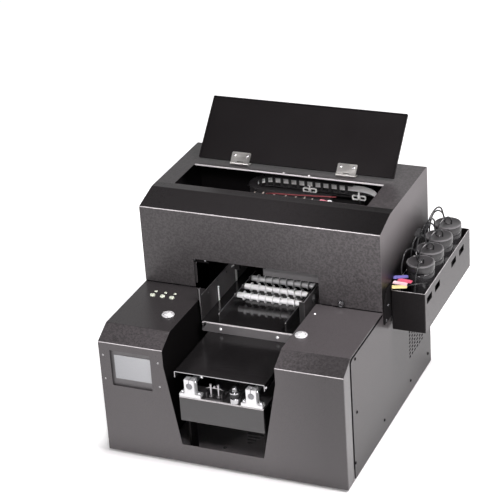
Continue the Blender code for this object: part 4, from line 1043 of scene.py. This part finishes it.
def make_inlet():
    """The mains socket with its pins, and the rocker beside it."""
    y = DEPTH - 2
    inlet = prism(rectangle(377, 433, FOOT + 32, FOOT + 72, 2.5), 'Y', y + 0.3, y + 2.3)
    join(inlet, box((382.3, 409.7), (y - 16, y + 1), (FOOT + 42.3, FOOT + 61.7)),
         box((414.3, 427.7), (y - 12, y + 1), (FOOT + 42.3, FOOT + 61.7)))
    shape = ((384.5, 44.5), (407.5, 44.5), (407.5, 54.5), (402.5, 59.5), (389.5, 59.5), (384.5, 54.5))
    socket = rounded([(x, FOOT + z) for x, z in shape], 1.2, 3, True)
    cut(inlet, prism(socket, 'Y', y - 12, y + 5), box((416, 426), (y - 8, y + 5), (FOOT + 44, FOOT + 60)))
    piece(inlet, "inlet_frame", "plastic_black", "power_inlet", 0.3)
    pins = [box((x - 2, x + 2), (y - 12.2, y - 2), (FOOT + z - 0.9, FOOT + z + 0.9))
            for x, z in ((390.5, 50), (401.5, 50), (396, 55))]
    piece(merged(pins), "inlet_pins", "nickel", "power_inlet", 0.25)
    side = ((-3, 44.6), (1.6, 44.6), (0.9, 48), (0.6, 52), (1.4, 55), (3.4, 58), (-3, 59.4))
    rocker = prism([(y + a, FOOT + z) for a, z in side], 'X', 416.4, 425.6)
    grooves = [box((418, 424), (y + 0.6, y + 4), (FOOT + z, FOOT + z + 0.5)) for z in (45.6, 46.8, 48.0)]
    cut(rocker, *grooves)
    piece(rocker, "rocker_key", "plastic_red", "rocker_switch", 0.3)


def make_feet():
    top = FOOT - 0.35
    outline = [(0, 1.5), (4, 1.5), (4, 0), (8.8, 0), (9.6, 0.5), (11.3, FOOT - 0.8), (11.3, top), (0, top)]
    for depth, y in (("front", 40), ("rear", 450)):
        for side, x in (("left", 40), ("right", 440)):
            where = depth + "_" + side
            piece(lathe('Z', (x, y), outline, 48), "rubber_foot_" + where, "rubber", "foot_" + where)


# ---------------------------------------------------------------- table drive

def make_crossbar():
    y0, y1 = 0.6, 46.0
    bar = folded([(y0, FOOT + 91), (y0, BAR_TOP), (y1, BAR_TOP)], 3.4, 5, 3.0, 'X', 157, 323)
    paint_bend_highlight(coated(bar, "grey_steel"), 0.35, 0.95, y0)
    piece(bar, "front_crossbar_plate", None, "crossbar_front", 0.35)
    low, high = FOOT + SHEET + 0.3, BAR_TOP - 3.1
    legs = [box(xs, (y0 + 18, y1 - 1), (low, high)) for xs in ((162, 166), (314, 318))]
    piece(merged(legs), "front_crossbar_legs", "coat_inside", "crossbar_front", 0.35)


def make_rods():
    """The two guide rods and their clamp blocks."""
    foot_z = BAR_TOP + 0.3
    half = [(21, 0), (21, 6.0), (11.5, 6.4), (10, 8), (10, 36)]
    bolts = []
    for side, x in zip(("left", "right"), ROD_X):
        outline = [(x - 21, foot_z)] + [(x + a, foot_z + b) for a, b in half]
        outline += [(x - a, foot_z + b) for a, b in reversed(half[1:])]
        block = prism(outline, 'Y', 1, 15)
        cut(block, rod('Y', (x, ROD_Z), ROD_R + 0.3, -5, 20, 48))
        cut(block, box((x - 0.6, x + 0.6), (-2, 18), (ROD_Z + 3, foot_z + 40)))
        piece(block, "rod_clamp_" + side, "alu_white", "shaft_support_" + side, 0.5, 3)
        shaft = coated(rod('Y', (x, ROD_Z), ROD_R, 0.7, 461, 40, 0.6), "chrome_turned")
        touch(shaft, lambda c, n: n.y < -0.3 and c[1] < 2, "rod_end")
        piece(shaft, "rod_" + side, None, "guide_rod_" + side)
        bolts += [((x + s * 16, 8, foot_z + 6.1), UP, 3.6) for s in (-1, 1)]
        bolts.append(((x + 10, 8, foot_z + 31), RIGHT, 2.2))
    screws("clamp_bolts", "chrome", bolts, kind="cap")


def make_tensioner():
    """The plate over the crossbar with two studs and a wing."""
    z = BAR_TOP
    base = box((208, 242), (3, 40), (z + 0.3, z + 3.2))
    join(base, *[box(xs, (6, 18), (z + 3, z + 14)) for xs in ((209, 211), (239, 241))])
    piece(base, "tensioner_plate", "beam_black", "belt_tensioner", 0.3)
    stud = [(0, 3.3), (4.2, 3.3), (4.2, 6.2), (1.9, 6.6), (1.9, 27), (2.8, 27.3), (2.8, 29), (2.2, 29.7),
            (0, 29.7)]
    wing = [(206, z + 19), (213, z + 22.4), (236, z + 22.4), (243, z + 19), (236, z + 20.8), (213, z + 20.8)]
    posts = [lathe('Z', (x, 12), stud, 24, z) for x in (217, 232)]
    posts += [prism(wing, 'Y', 11, 13.2), rod('Z', (224.5, 12), 2.2, z + 22, z + 26.4, 20, 0.5)]
    piece(merged(posts), "tensioner_posts", "edge_bright", "belt_tensioner", 0.2)


def make_idler():
    low = BAR_TOP + 0.4 - BELT_Z
    wheel = [(0, low), (10.4, low), (11, low + 0.6), (11, -5.2), (10.4, -4.6), (PULLEY_R, -4.2),
             (PULLEY_R, 4.2), (10.4, 4.6), (11, 5.2), (11, 7.4), (10.4, 8), (6.4, 8.2), (6.4, 11.4),
             (5, 11.8), (5, 15.2), (4.2, 16), (1.6, 16), (1.6, 15), (0, 15)]
    piece(lathe('Z', (BELT_X, PULLEY_Y[0]), wheel, 48, BELT_Z), "idler_wheel", "dark_alu", "table_idler")
    recoat("table_pulley", "alu", 0.3)
    recoat("table_motor", "plastic_black", 0.8)
    recoat("crossbar_rear", "grey_steel", 0.3)


def make_belt():
    """Toothed belt: smooth back, teeth on the inside."""
    def loop(radius):
        """A band's outline at a distance from the wheel centres."""
        points = []
        for y, start in ((PULLEY_Y[1], 0.0), (PULLEY_Y[0], math.pi)):
            for step in range(17):
                a = start + math.pi * step / 16
                points.append((BELT_X + radius * math.cos(a), y + radius * math.sin(a)))
        return points
    belt = prism(loop(PULLEY_R + 1.6), 'Z', BELT_Z - 3, BELT_Z + 3)
    cut(belt, prism(loop(PULLEY_R + 0.9), 'Z', BELT_Z - 9, BELT_Z + 9))
    teeth = []
    for side in (-1, 1):
        for k in range(BELT_TEETH):
            y = PULLEY_Y[0] + (k + 0.5) * (PULLEY_Y[1] - PULLEY_Y[0]) / BELT_TEETH
            x = BELT_X + side * (PULLEY_R + 0.7)
            teeth.append(box((x - 0.4, x + 0.4), (y - 1.0, y + 1.0), (BELT_Z - 2.9, BELT_Z + 2.9)))
    piece(merged([belt] + teeth), "toothed_belt", "rubber", "table_belt")


# ---------------------------------------------------------------- table and fixture

def make_table():
    """The cover, the tray and the two rails that hold the rollers."""
    recoat("table_plate", "alu", 0.4)
    recoat("bearing_bridge", "alu", 0.5)
    z = COVER_TOP
    cover = folded([(151, z - 13), (151, z), (329, z), (329, z - 13)], 2.0, 4, SHEET, 'Y', 0, 396)
    # the cover's front edge takes bright metal as a painted highlight
    touch(coated(cover, "gloss_plate"), lambda c, n: n.y < -0.5, "edge_bright")
    piece(cover, "table_cover_plate", None, "table_cover", 0.25)
    places = [((205, 2.4, z - 4.5), (-0.45, -0.75, 0.1), 2.3), ((329.2, 5.5, z - 8), (1, -0.25, 0), 2.3)]
    screws("cover_hang_screws", "screw_white", places, body="table")
    tab = rounded([(201.5, z - 1.6), (208.5, z - 1.6), (206.5, z - 8), (203.5, z - 8)], 0.8, 3, True)
    piece(prism(tab, 'Y', 2.6, 4.2), "cover_hang_tab", "edge_bright", bevel=0.2,
          body="table")
    tray = prism(rectangle(136.3, 343.7, 158.3, 395, 2), 'Z', TRAY_TOP - 3, TRAY_TOP)
    for xs in ((156, 159), (321, 324)):
        join(tray, box(xs, (158.3, 395), (z + 0.3, TRAY_TOP - 2)))
    piece(tray, "fixture_tray_plate", "gloss_black", "fixture_tray", 0.3)
    low, high = TRAY_TOP - 0.5, FOOT + 232
    outline = rounded([(162, low), (162, high), (346, high), (346, low)], 3.0, 4)
    bush = [(3.1, 0), (5.2, 0), (5.2, 1.55), (3.1, 1.55)]
    left, right = RAIL_X
    for side, x0, bush_x in (("left", left, left - 1.6), ("right", right - 2, right + 0.05)):
        rail = prism(outline, 'X', x0, x0 + 2)
        cut(rail, *[rod('X', (y, ROLLER_Z), 3.1, 160, 320, 32) for y in ROLLERS.values()])
        # the rails' top faces take bright metal as a painted highlight
        touch(coated(rail, "rail_black"), lambda c, n: n.z > 0.5, "edge_bright")
        piece(rail, "roller_rail_" + side, None, "fixture_tray", 0.25)
        bushes = [lathe('X', (y, ROLLER_Z), bush, 32, bush_x) for y in ROLLERS.values()]
        piece(merged(bushes), "rail_bushes_" + side, "zinc", "fixture_tray", 0.2)


def make_front_bar():
    z0, z1 = COVER_TOP + 0.3, TRAY_TOP + 1
    bar = folded([(154.0, z0), (154.0, z1), (158, z1)], 1.5, 4, 1.4, 'X', 141, 333)
    # the bar's top bend takes the light coat as a painted highlight
    touch(coated(bar, "bar_grey"), lambda c, n: n.z > 0.35, "coat_bend")
    piece(bar, "front_bar_strip", None, "fixture_front_bar", 0.25)
    # the hook at the bar's curled end is bright metal as a painted highlight
    curl = [(140.2, COVER_TOP + 4), (144.6, TRAY_TOP + 1.4), (151, TRAY_TOP + 2.4)]
    piece(folded(curl, 1.6, 5, 1.8, 'Y', 151.4, 153.9), "front_bar_hook", "edge_bright", "fixture_front_bar",
          0.2)
    places = [((x, 154.0, COVER_TOP + 9), FRONT, 3.0) for x in (178, 293)]
    screws("front_bar_screws", "screw_white", places, body="table")


def make_walls():
    """The tall slotted wall on the left and the low one on the right."""
    top = FOOT + 261
    wall = prism(rectangle(*WALL_Y, WALL_Z, top, 3), 'X', *WALL_LEFT)
    join(wall, box(WALL_LEFT, (163.6, 170), (FOOT + 240, FOOT + 277)),
         box((130.7, 136), (163.6, 165.4), (BASE_TOP + 1.6, FOOT + 277)))
    slots, liners = [], []
    for y in (246, 330):
        slot_shape = rectangle(y - 2.5, y + 2.5, FOOT + 207, FOOT + 243, 2.45, 6)
        slots.append(coated(prism(slot_shape, 'X', 130, 140), "zinc"))
        liners.append(tube([(135.6, y, FOOT + 208.5), (135.6, y, FOOT + 225), (135.6, y, FOOT + 241.5)], 2.1))
    liners.append(tube([(136.7, 331.5, FOOT + 212), (136.7, 331.5, FOOT + 236), (136.7, 329, FOOT + 245),
                        (136.7, 322, FOOT + 250), (136.7, 312, FOOT + 251)], 1.4))
    piece(merged(liners), "wall_left_liners", "plastic_white", "fixture_wall_left")
    coated(wall, "wall_satin")
    cut(wall, *slots)
    # the wall's top faces and front edge take bright metal as a painted highlight
    touch(wall, lambda c, n: n.z > 0.5 or (n.y < -0.8 and c[0] > 134), "edge_bright")
    piece(wall, "wall_left_plate", None, "fixture_wall_left", 0.3)
    dots = [((136, y, FOOT + z), RIGHT, 1.8) for y, z in
            ((200, 252), (246, 254), (288, 252), (330, 254), (372, 252), (185, 206), (300, 204))]
    screws("wall_left_bolts", "dark_screw", dots, body="table")
    top = FOOT + 279
    wall = prism(rectangle(*WALL_Y, WALL_Z, top, 2), 'X', *WALL_RIGHT)
    join(wall, box((336, 346), (163.6, 165.4), (TRAY_TOP + 0.3, top)))
    # the wall's top faces take bright metal as a painted highlight
    touch(coated(wall, "wall_satin"), lambda c, n: n.z > 0.5, "edge_bright")
    piece(wall, "wall_right_plate", None, "fixture_wall_right", 0.3)
    hub = [(0, 345), (8, 345), (8, 348), (7.2, 348.8), (4, 348.8), (4, 349.4), (0, 349.4)]
    hubs = [lathe('X', (y - 40, FOOT + 264), hub, 40) for y in ROLLERS.values()]
    piece(merged(hubs), "wall_right_hubs", "plastic_black", "fixture_wall_right", 0.2)


def make_rollers():
    left, right = RAIL_X[0] + 2.3, RAIL_X[1] - 2.3
    pitch = (right - left - 12) / ROLLER_DISCS
    disc = [(5.6, -1.6), (6.0, -1.2), (8.7, -1.0), (9, -0.7), (9, 0.7), (8.7, 1.0), (6.0, 1.2), (5.6, 1.6)]
    outline = [(0, RAIL_X[0] - 4), (2.2, RAIL_X[0] - 4), (2.7, RAIL_X[0] - 3.5), (2.7, left), (5.2, left),
               (5.6, left + 0.4)]
    for k in range(ROLLER_DISCS):
        outline += [(r, left + 6 + pitch * (k + 0.5) + step) for r, step in disc]
    outline += [(5.6, right - 0.4), (5.2, right), (2.7, right), (2.7, RAIL_X[1] + 3.5),
                (2.2, RAIL_X[1] + 4), (0, RAIL_X[1] + 4)]
    for name, y in ROLLERS.items():
        piece(lathe('X', (y, ROLLER_Z), outline, 48), name + "_turned", "roller_metal", name)


# ---------------------------------------------------------------- print carriage and hatch interior

def make_carriage():
    recoat("carriage_rail", "beam_black", 0.4)
    recoat("print_carriage", "plastic_grey", 1.2, 3)
    tab = box((238.4, 246.4), (225.4, 227.8), (FOOT + 304.6, FOOT + 320))
    join(tab, rod('Y', (242.4, FOOT + 315), 2.2, 224.6, 226, 20, 0.4))
    piece(tab, "carriage_tab", "coat_inside", bevel=0.4, body="carriage")
    recoat("print_head", "plastic_dark", 0.6)
    recoat("uv_lamp", "alu", 0.6)


def make_chain():
    """Links laid at even steps along the back run, the bend and the front run."""
    (low, high), half = CHAIN_Z, CHAIN_PITCH / 2 - 0.15
    back_run, bend_run = CHAIN_START - CHAIN_BEND[0], math.pi * CHAIN_RADIUS
    length = back_run + bend_run + CHAIN_END - CHAIN_BEND[0]

    def spot_on(s):
        """Place and heading at a distance s along the chain."""
        if s < back_run:
            return CHAIN_START - s, CHAIN_Y, 0.0
        s -= back_run
        if s < bend_run:
            a = s / CHAIN_RADIUS
            return (CHAIN_BEND[0] - CHAIN_RADIUS * math.sin(a), CHAIN_BEND[1] + CHAIN_RADIUS * math.cos(a),
                    math.degrees(a))
        return CHAIN_BEND[0] + s - bend_run, CHAIN_BEND[1] - CHAIN_RADIUS, -180.0

    links = []
    for k in range(int(length // CHAIN_PITCH)):
        x, y, heading = spot_on((k + 0.5) * CHAIN_PITCH)
        link = merged([box((-half, half), (5.2, 6.8), (low, high)),
                       box((-half, half), (-6.8, 6), (low, low + 1.8)),
                       box((-half, half), (-6.8, 6), (high - 1.8, high)),
                       box((-half, -half + 6.0), (-7.0, -5.6), (low, high))])
        links.append(placed(link, x, y, 0, about('Z', heading)))
    piece(merged(links), "carrier_links", "chain_black", "cable_chain", 0.35)


def make_ribbon():
    """A flat cable that follows the chain's bend and back run, then curves down to the board."""
    turns = [math.radians(a) for a in range(84, 0, -12)]
    path = [(CHAIN_BEND[0] - 33 * math.sin(a), CHAIN_BEND[1] + 33 * math.cos(a)) for a in turns]
    path += [(175, 464), (342, 464), (350, 463.7), (358, 463), (365, 461.4), (372, 459), (378, 455.9),
             (384, 452), (388.5, 448.2), (392, 444), (394.4, 440.2), (396, 436)]
    ribbon = prism(thick(path, 0.8), 'Z', FOOT + 369, FOOT + 381.5)
    piece(ribbon, "flat_ribbon", "plastic_white", "ribbon_cable")


def make_wiring():
    """Two cable clips on posts, and the hose and red tube strapped along the hatch's back edge."""
    board_top = BOARD_Z + 1.8
    for k, (x, z) in enumerate(((260.0, FOOT + 351.3), (361.0, board_top)), 1):
        loops = []
        for side in (-1, 1):
            c = x + side * 7.2
            ring = prism(rectangle(c - 7.0, c + 7.0, z + 20, z + 30, 3, 4), 'Y', 430, 433.4)
            cut(ring, prism(rectangle(c - 4.7, c + 4.7, z + 22.2, z + 27.8, 2, 4), 'Y', 426, 436))
            loops.append(ring)
        loops.append(box((x - 1.4, x + 1.4), (430.4, 433), (z + 24, z + 36)))
        piece(merged(loops), "cable_clip_%d" % k, "plastic_white", bevel=0.3)
        stem = join(box((x - 1.6, x + 1.6), (433.6, 435.4), (board_top, z + 30)),
                    box((x - 5, x + 5), (431, 438), (board_top, board_top + 2)))
        piece(stem, "clip_post_%d" % k, "plastic_black", bevel=0.3)
    y, z = 389.0, FOOT + 376
    hose = rod('X', (y, z), 3.2, 158, 298, 24, 0.5)
    piece(hose, "strapped_hose", "plastic_black")
    ties = [lathe('X', (y, z), [(3.3, x - 1.4), (3.9, x - 1.2), (3.9, x + 1.2), (3.3, x + 1.4)], 24)
            for x in (162.1, 179.2, 203, 226.8, 247.6, 265.4, 281.5)]
    ties += [box((x - 1, x + 1), (y - 3.8, y + 4.6), (z + 3.0, z + 4.4)) for x in (179.2, 226.8, 265.4)]
    piece(merged(ties), "hose_ties", "tie_grey", bevel=0.2)
    red = tube([(186, 388, z + 3.4), (203, 380.8, FOOT + 385), (230, 382.8, FOOT + 385.4),
                (258, 385.8, FOOT + 385.6), (292, 389.6, FOOT + 385.8), (328, 394.2, FOOT + 386.0)], 1.3)
    piece(red, "red_tube", "tube_red")
    joint = [(0, 297), (3.6, 297), (4.4, 298.4), (4.4, 305), (3.0, 308), (3.0, 312), (0, 312)]
    piece(lathe('X', (y, z), joint, 28), "tube_joint", "tag_rose")
    cap = [(0, 312.4), (2.2, 312.4), (2.9, 313.4), (2.9, 318), (2.0, 319.4), (0, 319.6)]
    piece(lathe('X', (y + 3, z), cap, 24), "joint_cap", "plastic_white")


def make_board():
    """The board under the hatch; its parts are guessed."""
    z = BOARD_Z
    board = box((262, 402), (418, 447), (z, z + 1.6))
    piece(board, "board_sheet", "circuit_green", "circuit_board", 0.2)
    chips = [box((x0, x1), (y0, y1), (z + 1.6, z + 1.6 + h)) for x0, x1, y0, y1, h in
             ((280, 300, 424, 440, 5), (312, 344, 422, 430, 9), (352, 372, 426, 442, 4),
              (378, 392, 430, 444, 10))]
    piece(merged(chips), "board_chips", "plastic_black", "circuit_board", 0.4)
    posts = [rod('Z', p, 2.5, FOOT + 328.3, z, 20, 0.3) for p in
             ((268, 423), (396, 423), (268, 442), (396, 442))]
    piece(merged(posts), "board_posts", "zinc", "circuit_board")


# ---------------------------------------------------------------- ink supply

def make_tank():
    """The open box with its windows and mounting ear."""
    (x0, x1), (y0, y1), (z0, z1) = TANK_X, TANK_Y, TANK_Z
    tank = prism(rectangle(x0, x1, y0, y1, 1.6, 4), 'Z', z0, z1)
    inside = rectangle(x0 + SHEET, x1 - SHEET, y0 + SHEET, y1 - SHEET, 0.6, 3)
    cut(tank, prism(inside, 'Z', z0 + SHEET, z1 + 9))
    windows = [prism(rectangle(y - 15, y + 15, FOOT + 254, FOOT + 267, 1.0, 3), 'X', x1 - 5, x1 + 5)
               for y in (278, 327, 430, 481)]
    cut(tank, *windows)
    join(tank, box((WIDTH + 0.3, x0 + 1), (256, 470), (FOOT + 225, FOOT + 248)))
    ear = rounded([(215, FOOT + 225), (262, FOOT + 225), (262, FOOT + 290), (236, FOOT + 290),
                   (215, FOOT + 262)], 3, 4, True)
    join(tank, prism(ear, 'X', WIDTH + 0.3, WIDTH + 2.3))
    # the ink box takes the darker copy of its coat as painted shade; the outer right side keeps the box coat
    # below
    coated(tank, "coat_tank")
    # the mounting ear and the strip along the hood take the black coat as painted shade in the gap
    touch(tank, lambda c, n: c[0] < x0 - 0.4)
    touch(tank, lambda c, n: n.x > 0.7 and c[0] > x1 - 1, "coat_box")
    # the box's top edges take the light coat as a painted highlight
    touch(tank, lambda c, n: n.z > 0.8 and c[2] > z1 - 1 and c[0] > x0 - 0.4, "coat_bend")
    piece(tank, "tank_tray", None, "tank_box", 0.3)
    places = [((WIDTH + 2.3, y, FOOT + z), RIGHT, 2.6) for y, z in ((225, 231), (238, 256))]
    screws("tank_screws", "dark_screw", places)


def make_tags():
    """Four folded paper tags lying on the front edge of the ink box, and the dark line beside them."""
    tags = (("tag_blue", 493, 284, 24, 7.5), ("tag_red", 504, 276, -8, 5.2), ("tag_pink", 497, 268, -4, 3.0),
            ("tag_yellow", 499, 258, 18, 0.8))
    for k, (finish, x, y, spin, z) in enumerate(tags, 1):
        tag = prism(rectangle(-14, 14, -4.6, 4.6, 1.2, 3), 'Z', 0, 1.0)
        join(tag, prism(rectangle(-13.5, 12, -4.2, 4.0, 1.0, 3), 'Z', 0.8, 1.7))
        placed(tag, x - 1, y, TANK_Z[1] + 4.5 + z, about('Z', spin) @ Matrix.Rotation(0.10, 4, 'X'))
        piece(tag, "line_tag_%d" % k, finish, bevel=0.15)
    knots = [(487, 262, 1.0), (500, 266, 3), (520, 275, 5), (536, 292, 2), (541, 306, -10)]
    thread = tube(knots, 1.3, (0, 0, TANK_Z[1]))
    piece(thread, "tag_line", "tube_black")


def make_bottles():
    """Bottles with ribbed caps."""
    low, r = TANK_Z[0] + SHEET + 0.3 - BOTTLE_TOP, BOTTLE_R
    jar = [(0, low), (r - 3, low), (r - 1, low + 0.7), (r, low + 2.5), (r, -22), (r - 0.6, -20.5),
           (r - 1.5, -19.5), (r - 1.5, -15.4), (0, -15.4)]
    cap = [(0, -15.2), (r, -15.2), (r + 0.5, -14.7), (r + 0.5, -3.2), (r - 0.2, -1.4), (r - 2.0, -0.5),
           (r - 2.6, -1.2), (r - 3.4, -1.5), (6, -1.5), (5.4, -0.6), (4.6, 0), (0, 0)]
    for k, y in enumerate(BOTTLE_Y, 1):
        centre, node = (BOTTLE_X, y), "ink_bottle_%d" % k
        piece(lathe('Z', centre, jar, 64, BOTTLE_TOP), "ink_jar_%d" % k, "tank_smoke", node)
        lid = coated(lathe('Z', centre, cap, 64, BOTTLE_TOP), "cap_smoke")
        # the caps' flat tops take the lighter copy as painted sheen
        touch(lid, lambda c, n: n.z > 0.9, "cap_top")
        # the caps' rounded rims take the light ring as a painted highlight
        touch(lid, lambda c, n: n.z > 0.2 and math.hypot(c[0] - BOTTLE_X, c[1] - y) > r - 2.4, "cap_rim")
        piece(lid, "ink_cap_%d" % k, None, node)
        ribs = []
        for n in range(CAP_RIBS):
            rib = box((r - 0.2, r + 0.45), (-0.7, 0.7), (BOTTLE_TOP - 13.6, BOTTLE_TOP - 4.0))
            ribs.append(placed(rib, BOTTLE_X, y, 0, about('Z', 360 * n / CAP_RIBS)))
        piece(merged(ribs), "ink_cap_grip_%d" % k, "cap_smoke", node, 0.2)


def make_tubes():
    """Tubes from the caps into the hood, between the caps, and from the caps down into the box."""
    clip = prism(rectangle(407, 437, FOOT + 310, FOOT + 322, 5.5, 5), 'X', 470, 488)
    lines = []
    for k, (y, rise) in enumerate(zip(BOTTLE_Y, (26, 30, 34, 38))):
        port_y, z, end_y = 411.5 + 7 * k, FOOT + 316, 457 + 3.4 * k
        lines.append(tube([
            (BOTTLE_X - 6, y, BOTTLE_TOP + 0.3), (BOTTLE_X - 8, y, BOTTLE_TOP + 12),
            (BOTTLE_X - 12, y + (port_y - y) * 0.25, BOTTLE_TOP + rise),
            (BOTTLE_X - 20, y + (port_y - y) * 0.7, BOTTLE_TOP + rise - 8),
            (494, port_y, z + 3), (479, port_y, z), (464, port_y + 2, z + 4), (440, 425 + 5 * k, z + 28),
            (405, end_y - 6, FOOT + 365), (375, end_y, FOOT + 366.5), (342, end_y, FOOT + 366.5)], 1.6))
    between = [(9, -6, 0), (10, -10, 12), (6, -24, 22), (-3, -42, 15), (-6, -50, 0)]
    down = [(-8, 9, -0.2), (-14, 6, 17), (-22, -10, 24), (-27, -24, 8), (-28.5, -28.5, -22),
            (-28.5, -28.5, TANK_Z[0] + 9 - BOTTLE_TOP)]
    first = [(8, -8, 0), (10, -16, 13), (6, -34, 4), (2, -44, TANK_Z[1] - 6 - BOTTLE_TOP),
             (0, -48, TANK_Z[0] + 6 - BOTTLE_TOP)]
    for knots, rows in ((between, BOTTLE_Y[1:]), (down, BOTTLE_Y), (first, BOTTLE_Y[:1])):
        lines += [tube(knots, 1.5, (BOTTLE_X, y, BOTTLE_TOP)) for y in rows]
    piece(merged(lines), "ink_lines", "tube_black", "ink_tubes")
    piece(clip, "tube_grommet", "rubber", "ink_tubes", 0.6, 3)


# ---------------------------------------------------------------- lid and hinges

def swung(obj):
    """Swing a shape drawn with the lid shut back to the open stop."""
    axis = at(LID_X[0], LID_Y, LID_Z)
    obj.data.transform(Matrix.Translation(axis) @ about('X', -LID_OPEN) @ Matrix.Translation(-axis))
    return obj


def make_lid():
    """The lid, drawn shut and swung open."""
    x0, x1 = LID_X
    front, back, under = LID_Y - LID_LENGTH, LID_Y - 3.6, LID_Z - 0.2
    low = HOOD_TOP + 0.4
    lid = prism(rectangle(x0, x1, front, back, 2.0, 5), 'Z', low, under + SHEET)
    inside = rectangle(x0 + SHEET, x1 - SHEET, front + SHEET, back - SHEET, 1.0)
    cut(lid, prism(inside, 'Z', low - 3, under))
    cut(lid, *[box((x - 20.5, x + 20.5), (back - 3, back + 3), (low - 3, under)) for x in HINGE_X])
    piece(swung(lid), "lid_panel", "satin_lid", "lid", 0.3)


def make_hinges():
    y, z = LID_Y, LID_Z
    for side, x in zip(("left", "right"), HINGE_X):
        leaf = prism(rectangle(x - 19.5, x + 19.5, y - 23, y - 2.2, 2), 'Z', z - 1.5, z - 0.5)
        knuckles = [rod('X', (y, z), 2.7, *xs, 32) for xs in ((x - 19.5, x - 7), (x + 7, x + 19.5))]
        join(leaf, *knuckles)
        cut(leaf, box((x - 6.7, x + 6.7), (y - 4, y + 4), (z - 4, z + 4)))
        cut(leaf, rod('X', (y, z), 1.6, x - 25, x + 25, 24))
        piece(swung(leaf), "leaf_" + side, "nickel", "hinge_leaf_" + side, 0.15)
        heads = [screw((x + s * 13, y - 16, z - 1.6), DOWN) for s in (-1, 1)]
        piece(swung(merged(heads)), "leaf_screws_" + side, "chrome",
              body="hatch_lid")
        base = prism(rectangle(x - 19.5, x + 19.5, y + 3.3, y + 20, 2), 'Z', HOOD_TOP + 0.3, HOOD_TOP + 1.3)
        join(base, box((x - 6.4, x + 6.4), (y - 0.5, y + 5), (HOOD_TOP + 0.3, HOOD_TOP + 1.3)),
             rod('X', (y, z), 2.9, x - 6.4, x + 6.4, 32), rod('X', (y, z), 1.2, x - 19.3, x + 19.3, 20))
        piece(base, "hinge_plate_" + side, "nickel", "hinge_base_" + side, 0.15)


def make_pan():
    """The base pan, its louvres and screws, and the seal along the back seam."""
    recoat("chassis_pan", "pan_grey", 0.3)
    z = FOOT + SHEET
    vents = [box((250 - w, 250 + w), (y - 1.5, y + 1.5), (z - 0.2, z + 1.6))
             for y, w in ((122, 17), (112, 13), (102, 9), (92, 5))]
    piece(merged(vents), "pan_louvres", "grey_steel", bevel=0.5)
    low = [(12, 18), (12, 128), (12, 236), (468, 18), (468, 128), (468, 236)]
    low += [(160, 12), (320, 12), (240, 240)]
    high = ((14, 14), (240, 14), (466, 14), (14, 158), (466, 158))
    rear = [((x, DEPTH - 2, FOOT + z), BACK, 2.6) for x, z in low]
    rear += [((x, DEPTH, BASE_TOP + z), BACK, 2.6) for x, z in high]
    screws("rear_screws", "dark_screw", rear)
    profile = [(5.4, -9), (4.0, -9), (4.0, 0.4), (1.9, 0.4), (1.9, 7), (3.3, 7), (3.3, 1.8), (5.4, 1.8)]
    seal = prism([(DEPTH - a, BASE_TOP + b) for a, b in profile], 'X', 2.5, WIDTH - 2.5)
    piece(seal, "rear_seal", "rubber", bevel=0.2)
    places = [((x, y, z), UP, 3.4) for x, y in ((211, 63), (300, 150), (180, 200))]
    screws("pan_screws", "zinc", places)


JOBS = (make_camera, make_world, make_floor, make_front_cover, make_side_panels, make_hood, make_hatch_rim,
        make_gate_parts, make_screen, make_controls, make_lock, make_inlet, make_feet, make_crossbar,
        make_rods, make_tensioner, make_idler, make_belt, make_table, make_front_bar, make_walls,
        make_rollers, make_carriage, make_chain, make_ribbon, make_wiring, make_board, make_tank,
        make_tags, make_bottles, make_tubes, make_lid, make_hinges, make_pan)
for job in JOBS:
    job()
for lamp in LAMPS:
    make_lamp(*lamp)

scene.view_settings.view_transform = 'Standard'
scene.view_settings.look = 'None'
